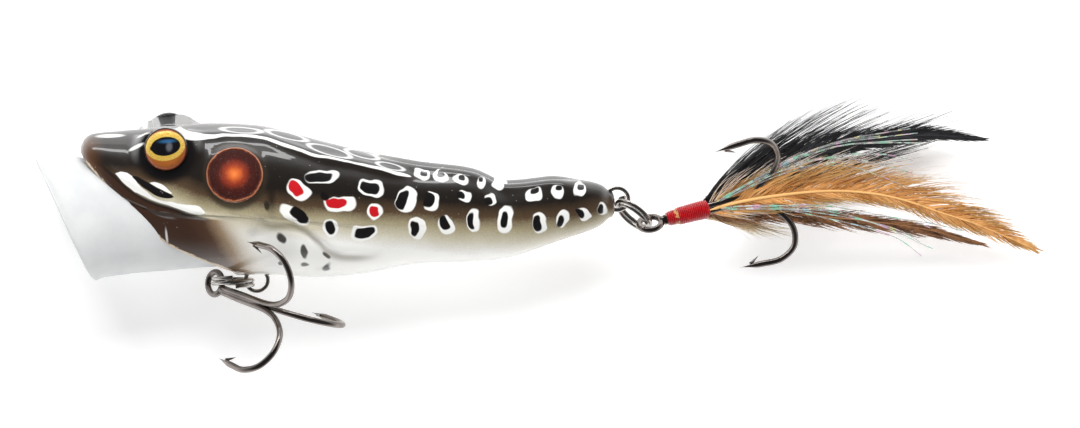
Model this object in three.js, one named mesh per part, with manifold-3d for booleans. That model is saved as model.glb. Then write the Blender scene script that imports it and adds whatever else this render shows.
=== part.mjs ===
// Topwater popper: a frog-shaped hard lure with a soft mouth cup, two treble hooks and a dressed tail.
// Millimetres, +Z up. The lure lies on its right side on the ground plane, nose towards -X.
// Inside the `lure` group the lure is upright: nose at x = 0, tail towards +X, back towards +Z, left side -Y.
import * as THREE from 'three'
import { mergeVertices } from 'three/addons/utils/BufferGeometryUtils.js'
import Module from 'manifold-3d'

const wasm = await Module()
wasm.setup()

// ---------- driving dimensions ----------
const backTilt = 9 // degrees that the back is turned up from the ground plane
const axisHeight = 11.31 // the lure's axis above the ground
const centreX = -61.2 // puts the middle of the whole object at x = 0
const centreY = 3.57
const wall = 1.4
const gap = 0.3
const seam = 0.15 // each half shell stops this far from the midplane
const wire = 0.28 // radius of the hanger and split ring wire
const hookWire = 0.43
const eyeRing = 1.5 // centreline radius of a wire eye
const ringRadius = 2.65 // centreline radius of a split ring
const ringPitch = 0.6 // from one turn of a split ring to the next
const hookEye = 1.5 // centreline radius of a treble hook's own eye
const eyeballRadius = 2.95
const earRadius = 3.8
const bulkheadDepth = 3.6 // from the mouth's edge back to the bulkhead
const bulkhead = 1.5
const ballRadius = 2

// ---------- materials ----------
const paint = new THREE.MeshStandardMaterial({ color: 0x4a4230, roughness: 0.2, metalness: 0 })
const silicone = new THREE.MeshStandardMaterial({ color: 0xeceeec, roughness: 0.6, metalness: 0 })
const steel = new THREE.MeshStandardMaterial({ color: 0xb9b4ae, roughness: 0.2, metalness: 1 })
const blackNickel = new THREE.MeshStandardMaterial({ color: 0x6d6460, roughness: 0.22, metalness: 1 })
const foil = new THREE.MeshStandardMaterial({ color: 0xd9a21f, roughness: 0.3, metalness: 0.4 })
const lens = new THREE.MeshStandardMaterial({ color: 0xf2f2f0, roughness: 0.05, metalness: 0 })
const lead = new THREE.MeshStandardMaterial({ color: 0x6f7276, roughness: 0.6, metalness: 0.8 })
const redThread = new THREE.MeshStandardMaterial({ color: 0xb5101c, roughness: 0.5, metalness: 0 })
const blackHair = new THREE.MeshStandardMaterial({ color: 0x121214, roughness: 0.7, metalness: 0 })
const tanFeather = new THREE.MeshStandardMaterial({ color: 0xc58a55, roughness: 0.7, metalness: 0 })
const brownFeather = new THREE.MeshStandardMaterial({ color: 0x5b3a26, roughness: 0.7, metalness: 0 })
const tinsel = new THREE.MeshStandardMaterial({ color: 0xbfe6d8, roughness: 0.3, metalness: 0.5 })

// ---------- solids ----------
function solid(geometry) {
  const bare = geometry.clone()
  bare.deleteAttribute('normal')
  bare.deleteAttribute('uv')
  const merged = mergeVertices(bare, 1e-4)
  return new wasm.Manifold(new wasm.Mesh({
    numProp: 3,
    vertProperties: new Float32Array(merged.attributes.position.array),
    triVerts: new Uint32Array(merged.index.array),
  }))
}

function geometryOf(manifold) {
  const found = manifold.getMesh()
  const geometry = new THREE.BufferGeometry()
  geometry.setAttribute('position', new THREE.BufferAttribute(found.vertProperties, 3))
  geometry.setIndex(new THREE.BufferAttribute(found.triVerts, 1))
  geometry.computeVertexNormals()
  return geometry
}

const union = (...pieces) => pieces.reduce((whole, next) => whole.add(next))

function mesh(name, shape, material) {
  const made = new THREE.Mesh(shape.getMesh ? geometryOf(shape) : shape, material)
  made.name = name
  return made
}

// A cylinder of this radius from one point to another.
function rod(from, to, radius, sides = 12, endRadius = radius) {
  const along = new THREE.Vector3().subVectors(to, from)
  const geometry = new THREE.CylinderGeometry(endRadius, radius, along.length(), sides)
  geometry.translate(0, along.length() / 2, 0)
  const turn = new THREE.Quaternion().setFromUnitVectors(new THREE.Vector3(0, 1, 0), along.normalize())
  return solid(geometry.applyQuaternion(turn).translate(from.x, from.y, from.z))
}

// A torus about the axis `normal`.
function hoop(centre, normal, radius, thickness, steps = 18, sides = 6) {
  const geometry = new THREE.TorusGeometry(radius, thickness, sides, steps)
  const turn = new THREE.Quaternion().setFromUnitVectors(new THREE.Vector3(0, 0, 1), normal)
  return solid(geometry.applyQuaternion(turn).translate(centre.x, centre.y, centre.z))
}

// A wire of round section swept along a curve.
function sweep(curve, radius, steps, sides = 6) {
  const section = new THREE.Shape()
  section.absarc(0, 0, radius, 0, Math.PI * 2)
  const options = { steps, extrudePath: curve, curveSegments: sides / 2, bevelEnabled: false }
  return new THREE.ExtrudeGeometry(section, options)
}

// A flat outline in the XZ plane, as thick as `depth` and centred on y = 0.
function plate(points, depth) {
  const outline = new THREE.Shape(points.map(([x, z]) => new THREE.Vector2(x, z)))
  const geometry = new THREE.ExtrudeGeometry(outline, { depth, bevelEnabled: false })
  return solid(geometry.translate(0, 0, -depth / 2).rotateX(Math.PI / 2))
}

// A closed skin of stacked rings: place(t, angle, reach) gives a point on the ring at t, from 0 to 1.
function loft(rows, around, place) {
  const geometry = new THREE.CylinderGeometry(1, 1, 1, around, rows)
  const at = geometry.attributes.position
  const point = new THREE.Vector3()
  for (let i = 0; i < at.count; i++) {
    point.fromBufferAttribute(at, i)
    const reach = Math.hypot(point.x, point.z) < 0.5 ? 0 : 1
    const placed = place(point.y + 0.5, Math.atan2(point.x, point.z), reach)
    at.setXYZ(i, placed.x, placed.y, placed.z)
  }
  return solid(geometry)
}

// ---------- the body's shape ----------
// Stations from nose to tail: x, top of the back, bottom of the belly, half width.
const stations = [
  [0, 8.2, 6.6, 1.9], [0.5, 9, 4.6, 3.2], [1.6, 9.6, 1.6, 4.4], [4.5, 9.9, -3.6, 6.3],
  [8, 10.2, -7.2, 7.7], [11.5, 10.5, -9, 8.5], [15.5, 10.9, -9.5, 8.9], [20, 10.9, -9.4, 9.1],
  [25, 10.4, -9.3, 9.1], [31.5, 8.7, -9.7, 8.6], [38, 7.1, -9.1, 7.6], [44.4, 5.7, -7.9, 6.5],
  [51.5, 4.9, -7.6, 5.5], [57, 3.3, -7, 4.8], [63.3, 3.8, -4.9, 4.2], [68.5, 3, -3.1, 2.9],
  [70.4, 1.9, -1.7, 1.7],
]
const heights = new THREE.CatmullRomCurve3(stations.map(([x, top, bottom]) => new THREE.Vector3(x, top, bottom)))
const widths = new THREE.CatmullRomCurve3(stations.map(([x, , , half]) => new THREE.Vector3(x, half, 0)))
heights.curveType = 'catmullrom'
widths.curveType = 'catmullrom'

function bodySkin(inset) {
  const inside = inset / stations.at(-1)[0]
  const [rows, around] = inset > 0 ? [16, 18] : [22, 24]
  return loft(rows, around, (t, angle, reach) => {
    const along = THREE.MathUtils.lerp(inside * 0.6, 1 - inside, t)
    const { x, y: top, z: bottom } = heights.getPoint(along)
    const half = widths.getPoint(along).y
    const tall = Math.max((top - bottom) / 2 - inset, 0.3)
    const wide = Math.max(half - inset, 0.3)
    return new THREE.Vector3(
      x,
      -reach * wide * Math.sin(angle),
      (top + bottom) / 2 + reach * tall * Math.cos(angle),
    )
  })
}

// Everything in front of the mouth's edge, moved back by `shift`.
const mouthEdge = [[-0.4, 7], [1.1, 5.9], [4.5, 2.3], [8.1, -1.1], [11.5, -4.1], [16, -6.4], [19.9, -8.2], [22.6, -11]]
function mouthSide(shift) {
  const edge = mouthEdge.map(([x, z]) => [x + shift, z + shift * 0.2])
  const [lastX, lastZ] = edge.at(-1)
  const corners = [[lastX, lastZ - 12], [-20, lastZ - 12], [-20, edge[0][1] + 8], [edge[0][0] - 3, edge[0][1] + 8]]
  return plate([...edge, ...corners], 60)
}

// ---------- places on the body ----------
const eyeCentre = { x: 11.5, y: 6.9, z: 8.5 }
const earCentre = { x: 20.6, y: 8.1, z: 5.3 }
const lineTie = new THREE.Vector3(-0.95, 0, -1.1)
const lineTieInner = new THREE.Vector3(17.2, 0, -1.1)
const bellyEye = new THREE.Vector3(23.3, 0, -10.15)
const bellyInner = new THREE.Vector3(23.3, 0, -4.2)
const tailEye = new THREE.Vector3(71.4, 0, 0.8)
const tailInner = new THREE.Vector3(65.6, 0, 0.3)
const rattlePockets = [[27.2, 34.2], [35.2, 42.2]]
const rattleHeight = 1
const ballastFrom = new THREE.Vector3(45.3, 0, -2.9)
const ballastTo = new THREE.Vector3(54.3, 0, -2.9)
const sideways = new THREE.Vector3(0, 1, 0)

// The direction that an eye or ear faces, for the side -1 (left) or 1 (right).
const eyeFacing = (side) => new THREE.Vector3(-0.06, side * 0.97, 0.2).normalize()
const earFacing = (side) => new THREE.Vector3(0, side * 0.91, 0.415).normalize()
const onSide = (place, side) => new THREE.Vector3(place.x, side * place.y, place.z)
const moved = (point, direction, distance) => point.clone().addScaledVector(direction, distance)

// ---------- wires ----------
// An eye outside, a straight shank through the shell, and an inner ring that a post holds.
function hangerWire(name, eye, inner) {
  const along = new THREE.Vector3().subVectors(inner, eye).normalize()
  return mesh(name, union(
    hoop(eye, sideways, eyeRing, wire),
    rod(moved(eye, along, eyeRing), moved(inner, along, -1.3), wire * 1.4, 8),
    hoop(inner, sideways, 1.3, wire),
  ), steel)
}

const wireWay = (eye, inner) => {
  const along = new THREE.Vector3().subVectors(inner, eye).normalize()
  const outer = moved(eye, along, -2)
  const clear = wire * 1.4 + gap
  const slot = hoop(eye, sideways, eyeRing, clear, 20, 8)
  return union(rod(outer, moved(inner, along, 0.5), clear, 8), slot)
}

// ---------- body shells ----------
function wholeShell() {
  const outer = bodySkin(0)
  let body = outer
  for (const side of [-1, 1]) {
    const eye = onSide(eyeCentre, side)
    const ear = onSide(earCentre, side)
    const facing = eyeFacing(side)
    body = body.add(rod(moved(eye, facing, -4), moved(eye, facing, 0.1), 4.3, 24, eyeballRadius + 0.6))
    body = body.add(rod(moved(ear, earFacing(side), -1.5), moved(ear, earFacing(side), 0.35), earRadius, 28))
  }
  const pad = rod(new THREE.Vector3(bellyEye.x, 0, -8), new THREE.Vector3(bellyEye.x, 0, -9.45), 2.4, 20)
  body = body.add(pad)

  const inner = bodySkin(wall)
  const front = mouthSide(bulkheadDepth + bulkhead)
  let cavity = inner.subtract(front)
  const ribs = [rattlePockets[0][0] - 0.6, rattlePockets[1][0] - 0.5, rattlePockets[1][1] + 0.6, ballastTo.x + 1, 61.5]
  for (const x of ribs) {
    cavity = cavity.subtract(plate([[x - 0.5, -15], [x + 0.5, -15], [x + 0.5, 15], [x - 0.5, 15]], 40))
  }
  const tubeFrom = new THREE.Vector3(rattlePockets[0][0] - 0.6, 0, rattleHeight)
  const tubeTo = new THREE.Vector3(rattlePockets[1][1] + 0.6, 0, rattleHeight)
  cavity = cavity.subtract(rod(tubeFrom, tubeTo, ballRadius + 1.3, 20))
  for (const [from, to] of rattlePockets) {
    const start = new THREE.Vector3(from, 0, rattleHeight)
    cavity = cavity.add(rod(start, new THREE.Vector3(to, 0, rattleHeight), ballRadius + gap, 20))
  }

  body = body.subtract(mouthSide(0)).subtract(inner.intersect(mouthSide(bulkheadDepth))).subtract(cavity)
  for (const side of [-1, 1]) {
    const eye = onSide(eyeCentre, side)
    const facing = eyeFacing(side)
    body = body.subtract(rod(moved(eye, facing, -0.9), moved(eye, facing, 4), eyeballRadius + gap, 32))
  }
  for (const [eye, ring] of [[lineTie, lineTieInner], [bellyEye, bellyInner], [tailEye, tailInner]]) {
    body = body.subtract(wireWay(eye, ring))
  }
  return { body, outer: outer.subtract(mouthSide(0)) }
}

function halfShell(whole, side) {
  const block = new THREE.BoxGeometry(160, 40, 60).translate(40, side * (20 + seam), 0)
  let half = whole.body.intersect(solid(block))
  for (const ring of [lineTieInner, bellyInner, tailInner]) {
    const tip = side < 0 ? 0.9 : 0.9 + gap
    const post = rod(new THREE.Vector3(ring.x, side * 12, ring.z), new THREE.Vector3(ring.x, tip, ring.z), 0.65, 12)
    half = half.add(post.intersect(whole.outer))
  }
  return half
}

// ---------- mouth cup ----------
// Rings of the flare from the mouth to the rim: centre x, centre z, slope of the ring's long axis, half length, half width.
const cupRings = [
  [11.2, -0.9, -36, 10.6, 6.4], [9.2, -0.85, -37, 12, 7.7], [6.4, -0.95, -42, 11.2, 8.1],
  [2.2, -1.25, -53, 9.7, 8.7], [-0.9, -1.45, -62, 9.2, 9.8], [-2.1, -1.5, -65, 9.4, 10.9],
]
function cupSkin(inset, rows = 8) {
  const curve = (index) => new THREE.CatmullRomCurve3(cupRings.map((ring) => new THREE.Vector3(...index.map((k) => ring[k]))))
  const centres = curve([0, 1, 2])
  const sizes = curve([3, 4, 0])
  return loft(rows, 24, (t, angle, reach) => {
    const centre = centres.getPoint(t)
    const size = sizes.getPoint(t)
    const slope = THREE.MathUtils.degToRad(centre.z)
    const long = reach * (size.x - inset) * Math.cos(angle)
    const beyond = inset > 0 ? (t - 0.5) * 0.6 : 0
    return new THREE.Vector3(
      centre.x + long * Math.cos(slope) - beyond,
      -reach * (size.y - inset) * Math.sin(angle),
      centre.y + long * Math.sin(slope) - beyond * 0.5,
    )
  })
}

function mouthCup() {
  const inside = bodySkin(wall + gap + 0.15)
  const plug = inside.intersect(mouthSide(bulkheadDepth - gap)).subtract(mouthSide(1.2))
  const flare = cupSkin(0).intersect(mouthSide(-gap))
  const neck = inside.intersect(mouthSide(2)).intersect(cupSkin(0.2))
  const bowl = cupSkin(1.1).intersect(mouthSide(0.6))
  const way = rod(moved(lineTie, new THREE.Vector3(1, 0, 0), 2), lineTieInner, wire * 1.4 + gap, 12)
  return union(plug, flare, neck).subtract(bowl).subtract(way).subtract(wireWay(bellyEye, bellyInner))
}

// ---------- eyes ----------
function eyeParts(side, word) {
  const eye = onSide(eyeCentre, side)
  const facing = eyeFacing(side)
  const disc = rod(moved(eye, facing, -0.6), moved(eye, facing, -0.1), eyeballRadius, 32)
  const dome = new THREE.SphereGeometry(eyeballRadius, 20, 10).scale(1, 0.62, 1)
  const turn = new THREE.Quaternion().setFromUnitVectors(new THREE.Vector3(0, 1, 0), facing)
  const seat = moved(eye, facing, 0.2)
  dome.applyQuaternion(turn).translate(seat.x, seat.y, seat.z)
  const front = rod(seat, moved(eye, facing, 6), eyeballRadius + 1, 32)
  return [
    mesh(`eye_foil_${word}`, disc, foil),
    mesh(`eye_lens_${word}`, solid(dome).intersect(front), lens),
  ]
}

// ---------- split rings and treble hooks ----------
// Two turns of wire about `normal`, with the wire's ends at `start`.
class RingCoil extends THREE.Curve {
  constructor({ centre, normal, start }) {
    super()
    this.centre = centre
    this.normal = normal
    this.first = start
    this.second = new THREE.Vector3().crossVectors(normal, start)
  }

  getPoint(t, target = new THREE.Vector3()) {
    const angle = t * Math.PI * 3.96
    target.copy(this.centre)
    target.addScaledVector(this.first, ringRadius * Math.cos(angle))
    target.addScaledVector(this.second, ringRadius * Math.sin(angle))
    return target.addScaledVector(this.normal, (t - 0.5) * ringPitch * 2)
  }
}

const splitRing = (name, place) => mesh(name, solid(sweep(new RingCoil(place), wire, 44)), steel)

// One hook's wire in the plane of the shank and `out`: distance along the shank from the eye, distance out from it.
const hookLine = [[1.9, 0.3], [6, 0.42], [11.4, 0.5], [14.6, 1.3], [17.2, 3.1], [18.3, 5.7], [17.6, 8.2], [15.4, 9.5], [12.9, 9.5]]
const hookPoint = [9.7, 9.2]

// Three hooks brazed round one shank. The first stands out along `firstOut`, and the eye is set off by `eyeSet`.
function trebleHook({ eye, shank, firstOut, eyeNormal, eyeSet }, wireRadius = hookWire) {
  const pieces = [hoop(moved(eye, eyeSet, 1), eyeNormal, hookEye, wireRadius)]
  for (let k = 0; k < 3; k++) {
    const out = firstOut.clone().applyAxisAngle(shank, k * Math.PI * 2 / 3)
    const place = ([along, reach]) => moved(moved(eye, shank, along), out, reach)
    pieces.push(solid(sweep(new THREE.CatmullRomCurve3(hookLine.map(place)), wireRadius, 18)))
    const spear = place(hookLine.at(-1))
    const towardsPoint = new THREE.Vector3().subVectors(place(hookPoint), spear).normalize()
    pieces.push(rod(moved(spear, towardsPoint, -0.1), place(hookPoint), wireRadius, 8, 0.05))
    const barbRoot = place([hookPoint[0] + 1.6, hookPoint[1] - 0.05])
    const barbTip = place([hookPoint[0] + 2.5, hookPoint[1] - 0.85])
    pieces.push(rod(barbRoot, barbTip, 0.3, 6, 0.05))
  }
  pieces.push(rod(moved(eye, shank, hookEye), moved(eye, shank, 11.5), wireRadius * 1.5, 12))
  return union(...pieces)
}

// The same direction, made square to `axis`.
const squareTo = (direction, axis) => direction.clone().addScaledVector(axis, -direction.dot(axis)).normalize()

// ---------- assembly ----------
const popper = new THREE.Group()
popper.position.set(centreX, centreY, 0)

const lure = new THREE.Group()
lure.position.z = axisHeight
lure.rotation.x = -THREE.MathUtils.degToRad(90 - backTilt)
popper.add(lure)

const whole = wholeShell()
lure.add(mesh('body_shell_left', halfShell(whole, -1), paint))
lure.add(mesh('body_shell_right', halfShell(whole, 1), paint))
lure.add(mesh('mouth_cup', mouthCup(), silicone))
lure.add(hangerWire('line_tie_wire', lineTie, lineTieInner))
lure.add(hangerWire('belly_hanger_wire', bellyEye, bellyInner))
lure.add(hangerWire('tail_hanger_wire', tailEye, tailInner))
lure.add(...eyeParts(-1, 'left'), ...eyeParts(1, 'right'))
lure.add(mesh('belly_ballast', rod(ballastFrom, ballastTo, 2.4, 20), lead))
rattlePockets.forEach(([from], k) => {
  const ball = new THREE.SphereGeometry(ballRadius, 14, 10)
  ball.translate(from + ballRadius + gap, 0, rattleHeight)
  lure.add(mesh(`rattle_ball_${k ? 'rear' : 'front'}`, ball, steel))
})

// ---------- tackle, in the ground's frame ----------
const toGround = (point) => point.clone().applyEuler(lure.rotation).add(lure.position)

// Belly: the ring lies nearly flat under the belly, and the hook is folded back and up over the left side.
const bellyRing = {
  centre: new THREE.Vector3(20.18, -0.39, -10.29),
  normal: new THREE.Vector3(-0.033, 0.141, 0.99).normalize(),
  start: new THREE.Vector3(0.136, -0.98, 0.144).normalize(),
}
const bellyShank = new THREE.Vector3(0.623, -0.224, 0.749).normalize()
const bellyTreble = {
  eye: toGround(new THREE.Vector3(17.74, 0.07, -11.14)),
  eyeSet: new THREE.Vector3(0, 0.55, 0),
  eyeNormal: squareTo(new THREE.Vector3(0.758, -0.063, -0.649), bellyShank),
  shank: bellyShank,
  firstOut: squareTo(new THREE.Vector3(-0.165, 0.899, 0.406), bellyShank),
}
lure.add(splitRing('belly_split_ring', bellyRing))
popper.add(mesh('belly_treble_hook', trebleHook(bellyTreble), blackNickel))

// Tail: from the tail eye the ring slopes down and back, and the hook lies behind it with one point on the ground.
const tailRing = {
  centre: new THREE.Vector3(73.56, -0.25, -1.2),
  normal: new THREE.Vector3(0.578, 0.468, 0.668).normalize(),
  start: new THREE.Vector3(-0.518, -0.422, 0.744).normalize(),
}
const tailShank = new THREE.Vector3(0.953, 0.245, -0.179).normalize()
const tailTreble = {
  eye: toGround(new THREE.Vector3(75.78, -1.36, -2.26)),
  eyeSet: new THREE.Vector3(0, 0, 0),
  eyeNormal: squareTo(new THREE.Vector3(0.1, -0.81, -0.577), tailShank),
  shank: tailShank,
  firstOut: squareTo(new THREE.Vector3(-0.078, 0.769, 0.635), tailShank),
}
lure.add(splitRing('tail_split_ring', tailRing))
popper.add(mesh('tail_treble_hook', trebleHook(tailTreble), blackNickel))

// Thread wound round the shank over the roots of the dressing.
const wrapLine = [[1.0, 3.1], [1.15, 3.1], [1.3, 3.6], [1.3, 4.6], [1.42, 5.2], [1.42, 8.4], [1.2, 8.8], [1.0, 8.8]]
function threadWrap() {
  const profile = [...wrapLine, wrapLine[0]].map(([radius, along]) => new THREE.Vector2(radius, along))
  const geometry = new THREE.LatheGeometry(profile, 24)
  const turn = new THREE.Quaternion().setFromUnitVectors(new THREE.Vector3(0, 1, 0), tailShank)
  return solid(geometry.applyQuaternion(turn).translate(...tailTreble.eye.toArray()))
}
popper.add(mesh('thread_wrap', threadWrap(), redThread))

// ---------- dressing ----------
// Flat outlines in the ground plane from the tie point, drooping from the shank to the ground as they go back.
const tie = moved(tailTreble.eye, tailShank, 9.1)
const dressingLength = 46
const dressingThickness = 0.4
function layer(outline, level) {
  const shape = new THREE.Shape(outline.map(([x, y]) => new THREE.Vector2(x, y)))
  const geometry = new THREE.ExtrudeGeometry(shape, { depth: dressingThickness, bevelEnabled: false, curveSegments: 5 })
  const at = geometry.attributes.position
  for (let i = 0; i < at.count; i++) {
    const along = Math.min(at.getX(i) / dressingLength, 1)
    const droop = (tie.z - 2.2) * along
    at.setZ(i, tie.z - droop + level * (1 - 0.55 * along) + at.getZ(i) - dressingThickness / 2)
  }
  return solid(geometry.translate(tie.x, tie.y, 0))
}
const dressing = [
  ['black_hair', blackHair, -2.5, [[0, 0.5], [6, 4.6], [13, 10.5], [21, 15.3], [26, 12.4], [20, 8.5], [12, 3.5], [0, -0.5]]],
  ['black_feather', blackHair, -1.4, [[0, 0.4], [8, 3.4], [18, 8.8], [30, 12.4], [37.5, 9.4], [33, 7.5], [22, 4.8], [0, -0.4]]],
  ['brown_feather', brownFeather, 1.4, [[0, 0.6], [14, 0.2], [30, -1], [40, -5], [26, -4.6], [12, -3.2], [0, -0.8]]],
  ['tan_feather', tanFeather, 2.5, [[0, 0.5], [12, 4.4], [26, 7.2], [38, 2.2], [44, -6.2], [30, -1.8], [16, -0.6], [0, -0.5]]],
  ['flash_tinsel_upper', tinsel, 3.6, [[0, 0.6], [7, 4], [17, 8.2], [28.5, 11.6], [29, 10.8], [18, 7.2], [8, 3], [0, 0]]],
  ['flash_tinsel_lower', tinsel, 3.6, [[0, -0.5], [16, -1.3], [30, -3.2], [38, -5.2], [38, -6.2], [28, -4.2], [15, -2.3], [0, -1.2]]],
  ['under_fibres', tanFeather, -1.5, [[0, -1], [2, -1.2], [7, -2.9], [11, -4.6], [6, -3.8], [0, -1.9]]],
]
const clearOfHook = trebleHook(tailTreble, hookWire + 0.22)
const [frontEnd, backEnd] = [moved(tie, tailShank, -6), moved(tie, tailShank, -0.2)]
const clearOfWrap = rod(frontEnd, backEnd, 1.65)
for (const [name, material, level, outline] of dressing) {
  const cut = layer(outline, level).subtract(clearOfHook).subtract(clearOfWrap)
  popper.add(mesh(name, cut.decompose().sort((a, b) => b.volume() - a.volume())[0], material))
}

export default popper
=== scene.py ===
"""Looks for the frog-shaped topwater popper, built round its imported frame."""

import math
import random

import bmesh
import bpy
from bpy.props import FloatProperty, FloatVectorProperty, IntProperty, PointerProperty
from mathutils import Matrix, Vector


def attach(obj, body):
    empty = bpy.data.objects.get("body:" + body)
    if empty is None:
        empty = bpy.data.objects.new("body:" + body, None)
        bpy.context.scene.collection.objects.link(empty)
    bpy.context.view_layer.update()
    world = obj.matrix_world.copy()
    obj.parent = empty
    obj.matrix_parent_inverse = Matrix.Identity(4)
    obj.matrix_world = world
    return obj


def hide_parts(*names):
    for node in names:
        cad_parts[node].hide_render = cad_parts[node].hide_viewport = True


bl_info = {
    "name": "Topwater Popper",
    "version": (1, 0, 0),
    "blender": (4, 5, 0),
    "location": "View3D > Sidebar > Popper",
    "description": "Builds the painted body, soft cup, tackle and dressing of a frog-shaped popper",
    "category": "Object",
}

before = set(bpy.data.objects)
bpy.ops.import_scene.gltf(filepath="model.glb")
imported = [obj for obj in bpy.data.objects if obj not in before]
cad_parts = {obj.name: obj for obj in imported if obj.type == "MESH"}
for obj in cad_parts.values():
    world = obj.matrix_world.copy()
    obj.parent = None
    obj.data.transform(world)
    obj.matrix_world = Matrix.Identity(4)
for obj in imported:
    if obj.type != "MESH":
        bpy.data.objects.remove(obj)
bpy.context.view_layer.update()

MM = 0.001
TAU = 2 * math.pi

# The lure lies on its right side on the ground. In its own frame the nose is at x = 0, the tail
# towards +X, the back towards +Z and the left side towards -Y.
BACK_TILT = 9
AXIS_HEIGHT = 11.31
CENTRE_X = -61.2
CENTRE_Y = 3.57
LURE = Matrix.Translation((CENTRE_X, CENTRE_Y, AXIS_HEIGHT)) @ Matrix.Rotation(
    -math.radians(90 - BACK_TILT), 4, "X"
)
TURN = LURE.to_3x3()


# ---------- small mathematics ----------
def clamp(x, low=0.0, high=1.0):
    return max(low, min(high, x))


def smooth(x, start, end):
    """0 before start, 1 after end, eased between."""
    t = clamp((x - start) / (end - start))
    return t * t * (3 - 2 * t)


def spline(points, t):
    """A point on the Catmull-Rom curve through the points, t from 0 to 1."""
    count = len(points) - 1
    place = clamp(t) * count
    i = min(int(place), count - 1)
    f = place - i
    p1, p2 = points[i], points[i + 1]
    p0 = points[i - 1] if i > 0 else [2 * a - b for a, b in zip(p1, p2)]
    p3 = points[i + 2] if i + 2 <= count else [2 * b - a for a, b in zip(p1, p2)]
    found = []
    for a, b, c, d in zip(p0, p1, p2, p3):
        m1, m2 = (c - a) / 2, (d - b) / 2
        h = f * f * (3 - 2 * f)
        found.append(b + (c - b) * h + m1 * (f - 2 * f * f + f**3) + m2 * (f**3 - f * f))
    return found


def table(rows, x):
    """The rows' other columns at x, in straight steps between rows."""
    if x <= rows[0][0]:
        return rows[0][1:]
    for a, b in zip(rows, rows[1:]):
        if x <= b[0]:
            f = (x - a[0]) / (b[0] - a[0])
            return [p + (q - p) * f for p, q in zip(a[1:], b[1:])]
    return rows[-1][1:]


def lure_point(x, y, z):
    return LURE @ Vector((x, y, z))


# ---------- mesh making ----------
def tube_mesh(rows, sides):
    """A closed tube of unit radius about X, from x = 0 to 1, with its ends drawn in to the axis."""
    bm = bmesh.new()
    bmesh.ops.create_grid(bm, x_segments=rows + 2, y_segments=sides, size=0.5)
    for v in bm.verts:
        row = round((v.co.x + 0.5) * (rows + 2))
        angle = (v.co.y + 0.5) * TAU
        reach = 0 if row in (0, rows + 2) else 1
        v.co = (clamp((row - 1) / rows), reach * math.cos(angle), reach * math.sin(angle))
    bmesh.ops.remove_doubles(bm, verts=bm.verts, dist=1e-5)
    bmesh.ops.recalc_face_normals(bm, faces=bm.faces)
    return bm


def shaped(rows, sides, place):
    """A closed tube of which place(row share, angle, reach) gives each point in millimetres."""
    bm = tube_mesh(rows, sides)
    for v in bm.verts:
        reach = 1 if math.hypot(v.co.y, v.co.z) > 0.5 else 0
        v.co = place(v.co.x, math.atan2(v.co.z, v.co.y), reach)
    bmesh.ops.recalc_face_normals(bm, faces=bm.faces)
    return bm


def path_frames(points):
    """Each point of a path with two directions square to it, which turn as little as they can."""
    found = []
    side = None
    for i, p in enumerate(points):
        along = (points[min(i + 1, len(points) - 1)] - points[max(i - 1, 0)]).normalized()
        if side is None:
            side = along.orthogonal().normalized()
        side = (side - along * side.dot(along)).normalized()
        found.append((p, side, along.cross(side)))
    return found


def wire_mesh(points, radius, sides=12):
    """A round wire along the points. radius is a number, or a function of the share of the way."""
    frames = path_frames(points)
    rows = len(points) - 1
    thick = radius if callable(radius) else lambda share: radius

    def place(share, angle, reach):
        p, a, b = frames[round(share * rows)]
        r = thick(share) * reach
        return p + a * (r * math.cos(angle)) + b * (r * math.sin(angle))

    return shaped(rows, sides, place)


def loop_mesh(centre, normal, radius, thick, steps=56, sides=14):
    """A ring of round wire about normal."""
    bm = bmesh.new()
    bmesh.ops.create_circle(bm, segments=sides, radius=thick)
    bmesh.ops.rotate(bm, verts=bm.verts, matrix=Matrix.Rotation(math.pi / 2, 3, "X"))
    bmesh.ops.translate(bm, verts=bm.verts, vec=(radius, 0, 0))
    bmesh.ops.spin(
        bm, geom=bm.verts[:] + bm.edges[:], cent=(0, 0, 0), axis=(0, 0, 1),
        angle=TAU, steps=steps, use_merge=True,
    )
    bmesh.ops.remove_doubles(bm, verts=bm.verts, dist=1e-4)
    bmesh.ops.recalc_face_normals(bm, faces=bm.faces)
    turn = Vector((0, 0, 1)).rotation_difference(normal).to_matrix().to_4x4()
    bmesh.ops.transform(bm, verts=bm.verts, matrix=Matrix.Translation(centre) @ turn)
    return bm


def joined(meshes):
    """One bmesh that holds them all."""
    whole = bmesh.new()
    for part in meshes:
        spare = bpy.data.meshes.new("spare")
        part.to_mesh(spare)
        part.free()
        whole.from_mesh(spare)
        bpy.data.meshes.remove(spare)
    return whole


def strands(paths, width, thick, rows=5, sides=3, tips=0.15, draws=None):
    """Many thin tapered fibres along the paths, as one bmesh, each with its own shade as tone."""
    template = tube_mesh(rows, sides)
    spare = bpy.data.meshes.new("spare")
    template.to_mesh(spare)
    each = len(template.verts)
    template.free()
    bm = bmesh.new()
    for _ in paths:
        bm.from_mesh(spare)
    bpy.data.meshes.remove(spare)
    tone = bm.verts.layers.float.new("tone")
    reach_layer = bm.verts.layers.float.new("way")
    bm.verts.ensure_lookup_table()
    for k, path in enumerate(paths):
        points = [path(i / rows) for i in range(rows + 1)]
        frames = path_frames(points)
        own = draws[k] if draws else 0.5
        for v in bm.verts[k * each : (k + 1) * each]:
            share = v.co.x
            p, a, b = frames[round(share * rows)]
            taper = max(tips, 1 - (1 - tips) * share**1.5)
            y, z = v.co.y * width * taper, v.co.z * thick * taper
            v.co = p + a * y + b * z
            v[tone] = own
            v[reach_layer] = share
    return bm


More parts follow.
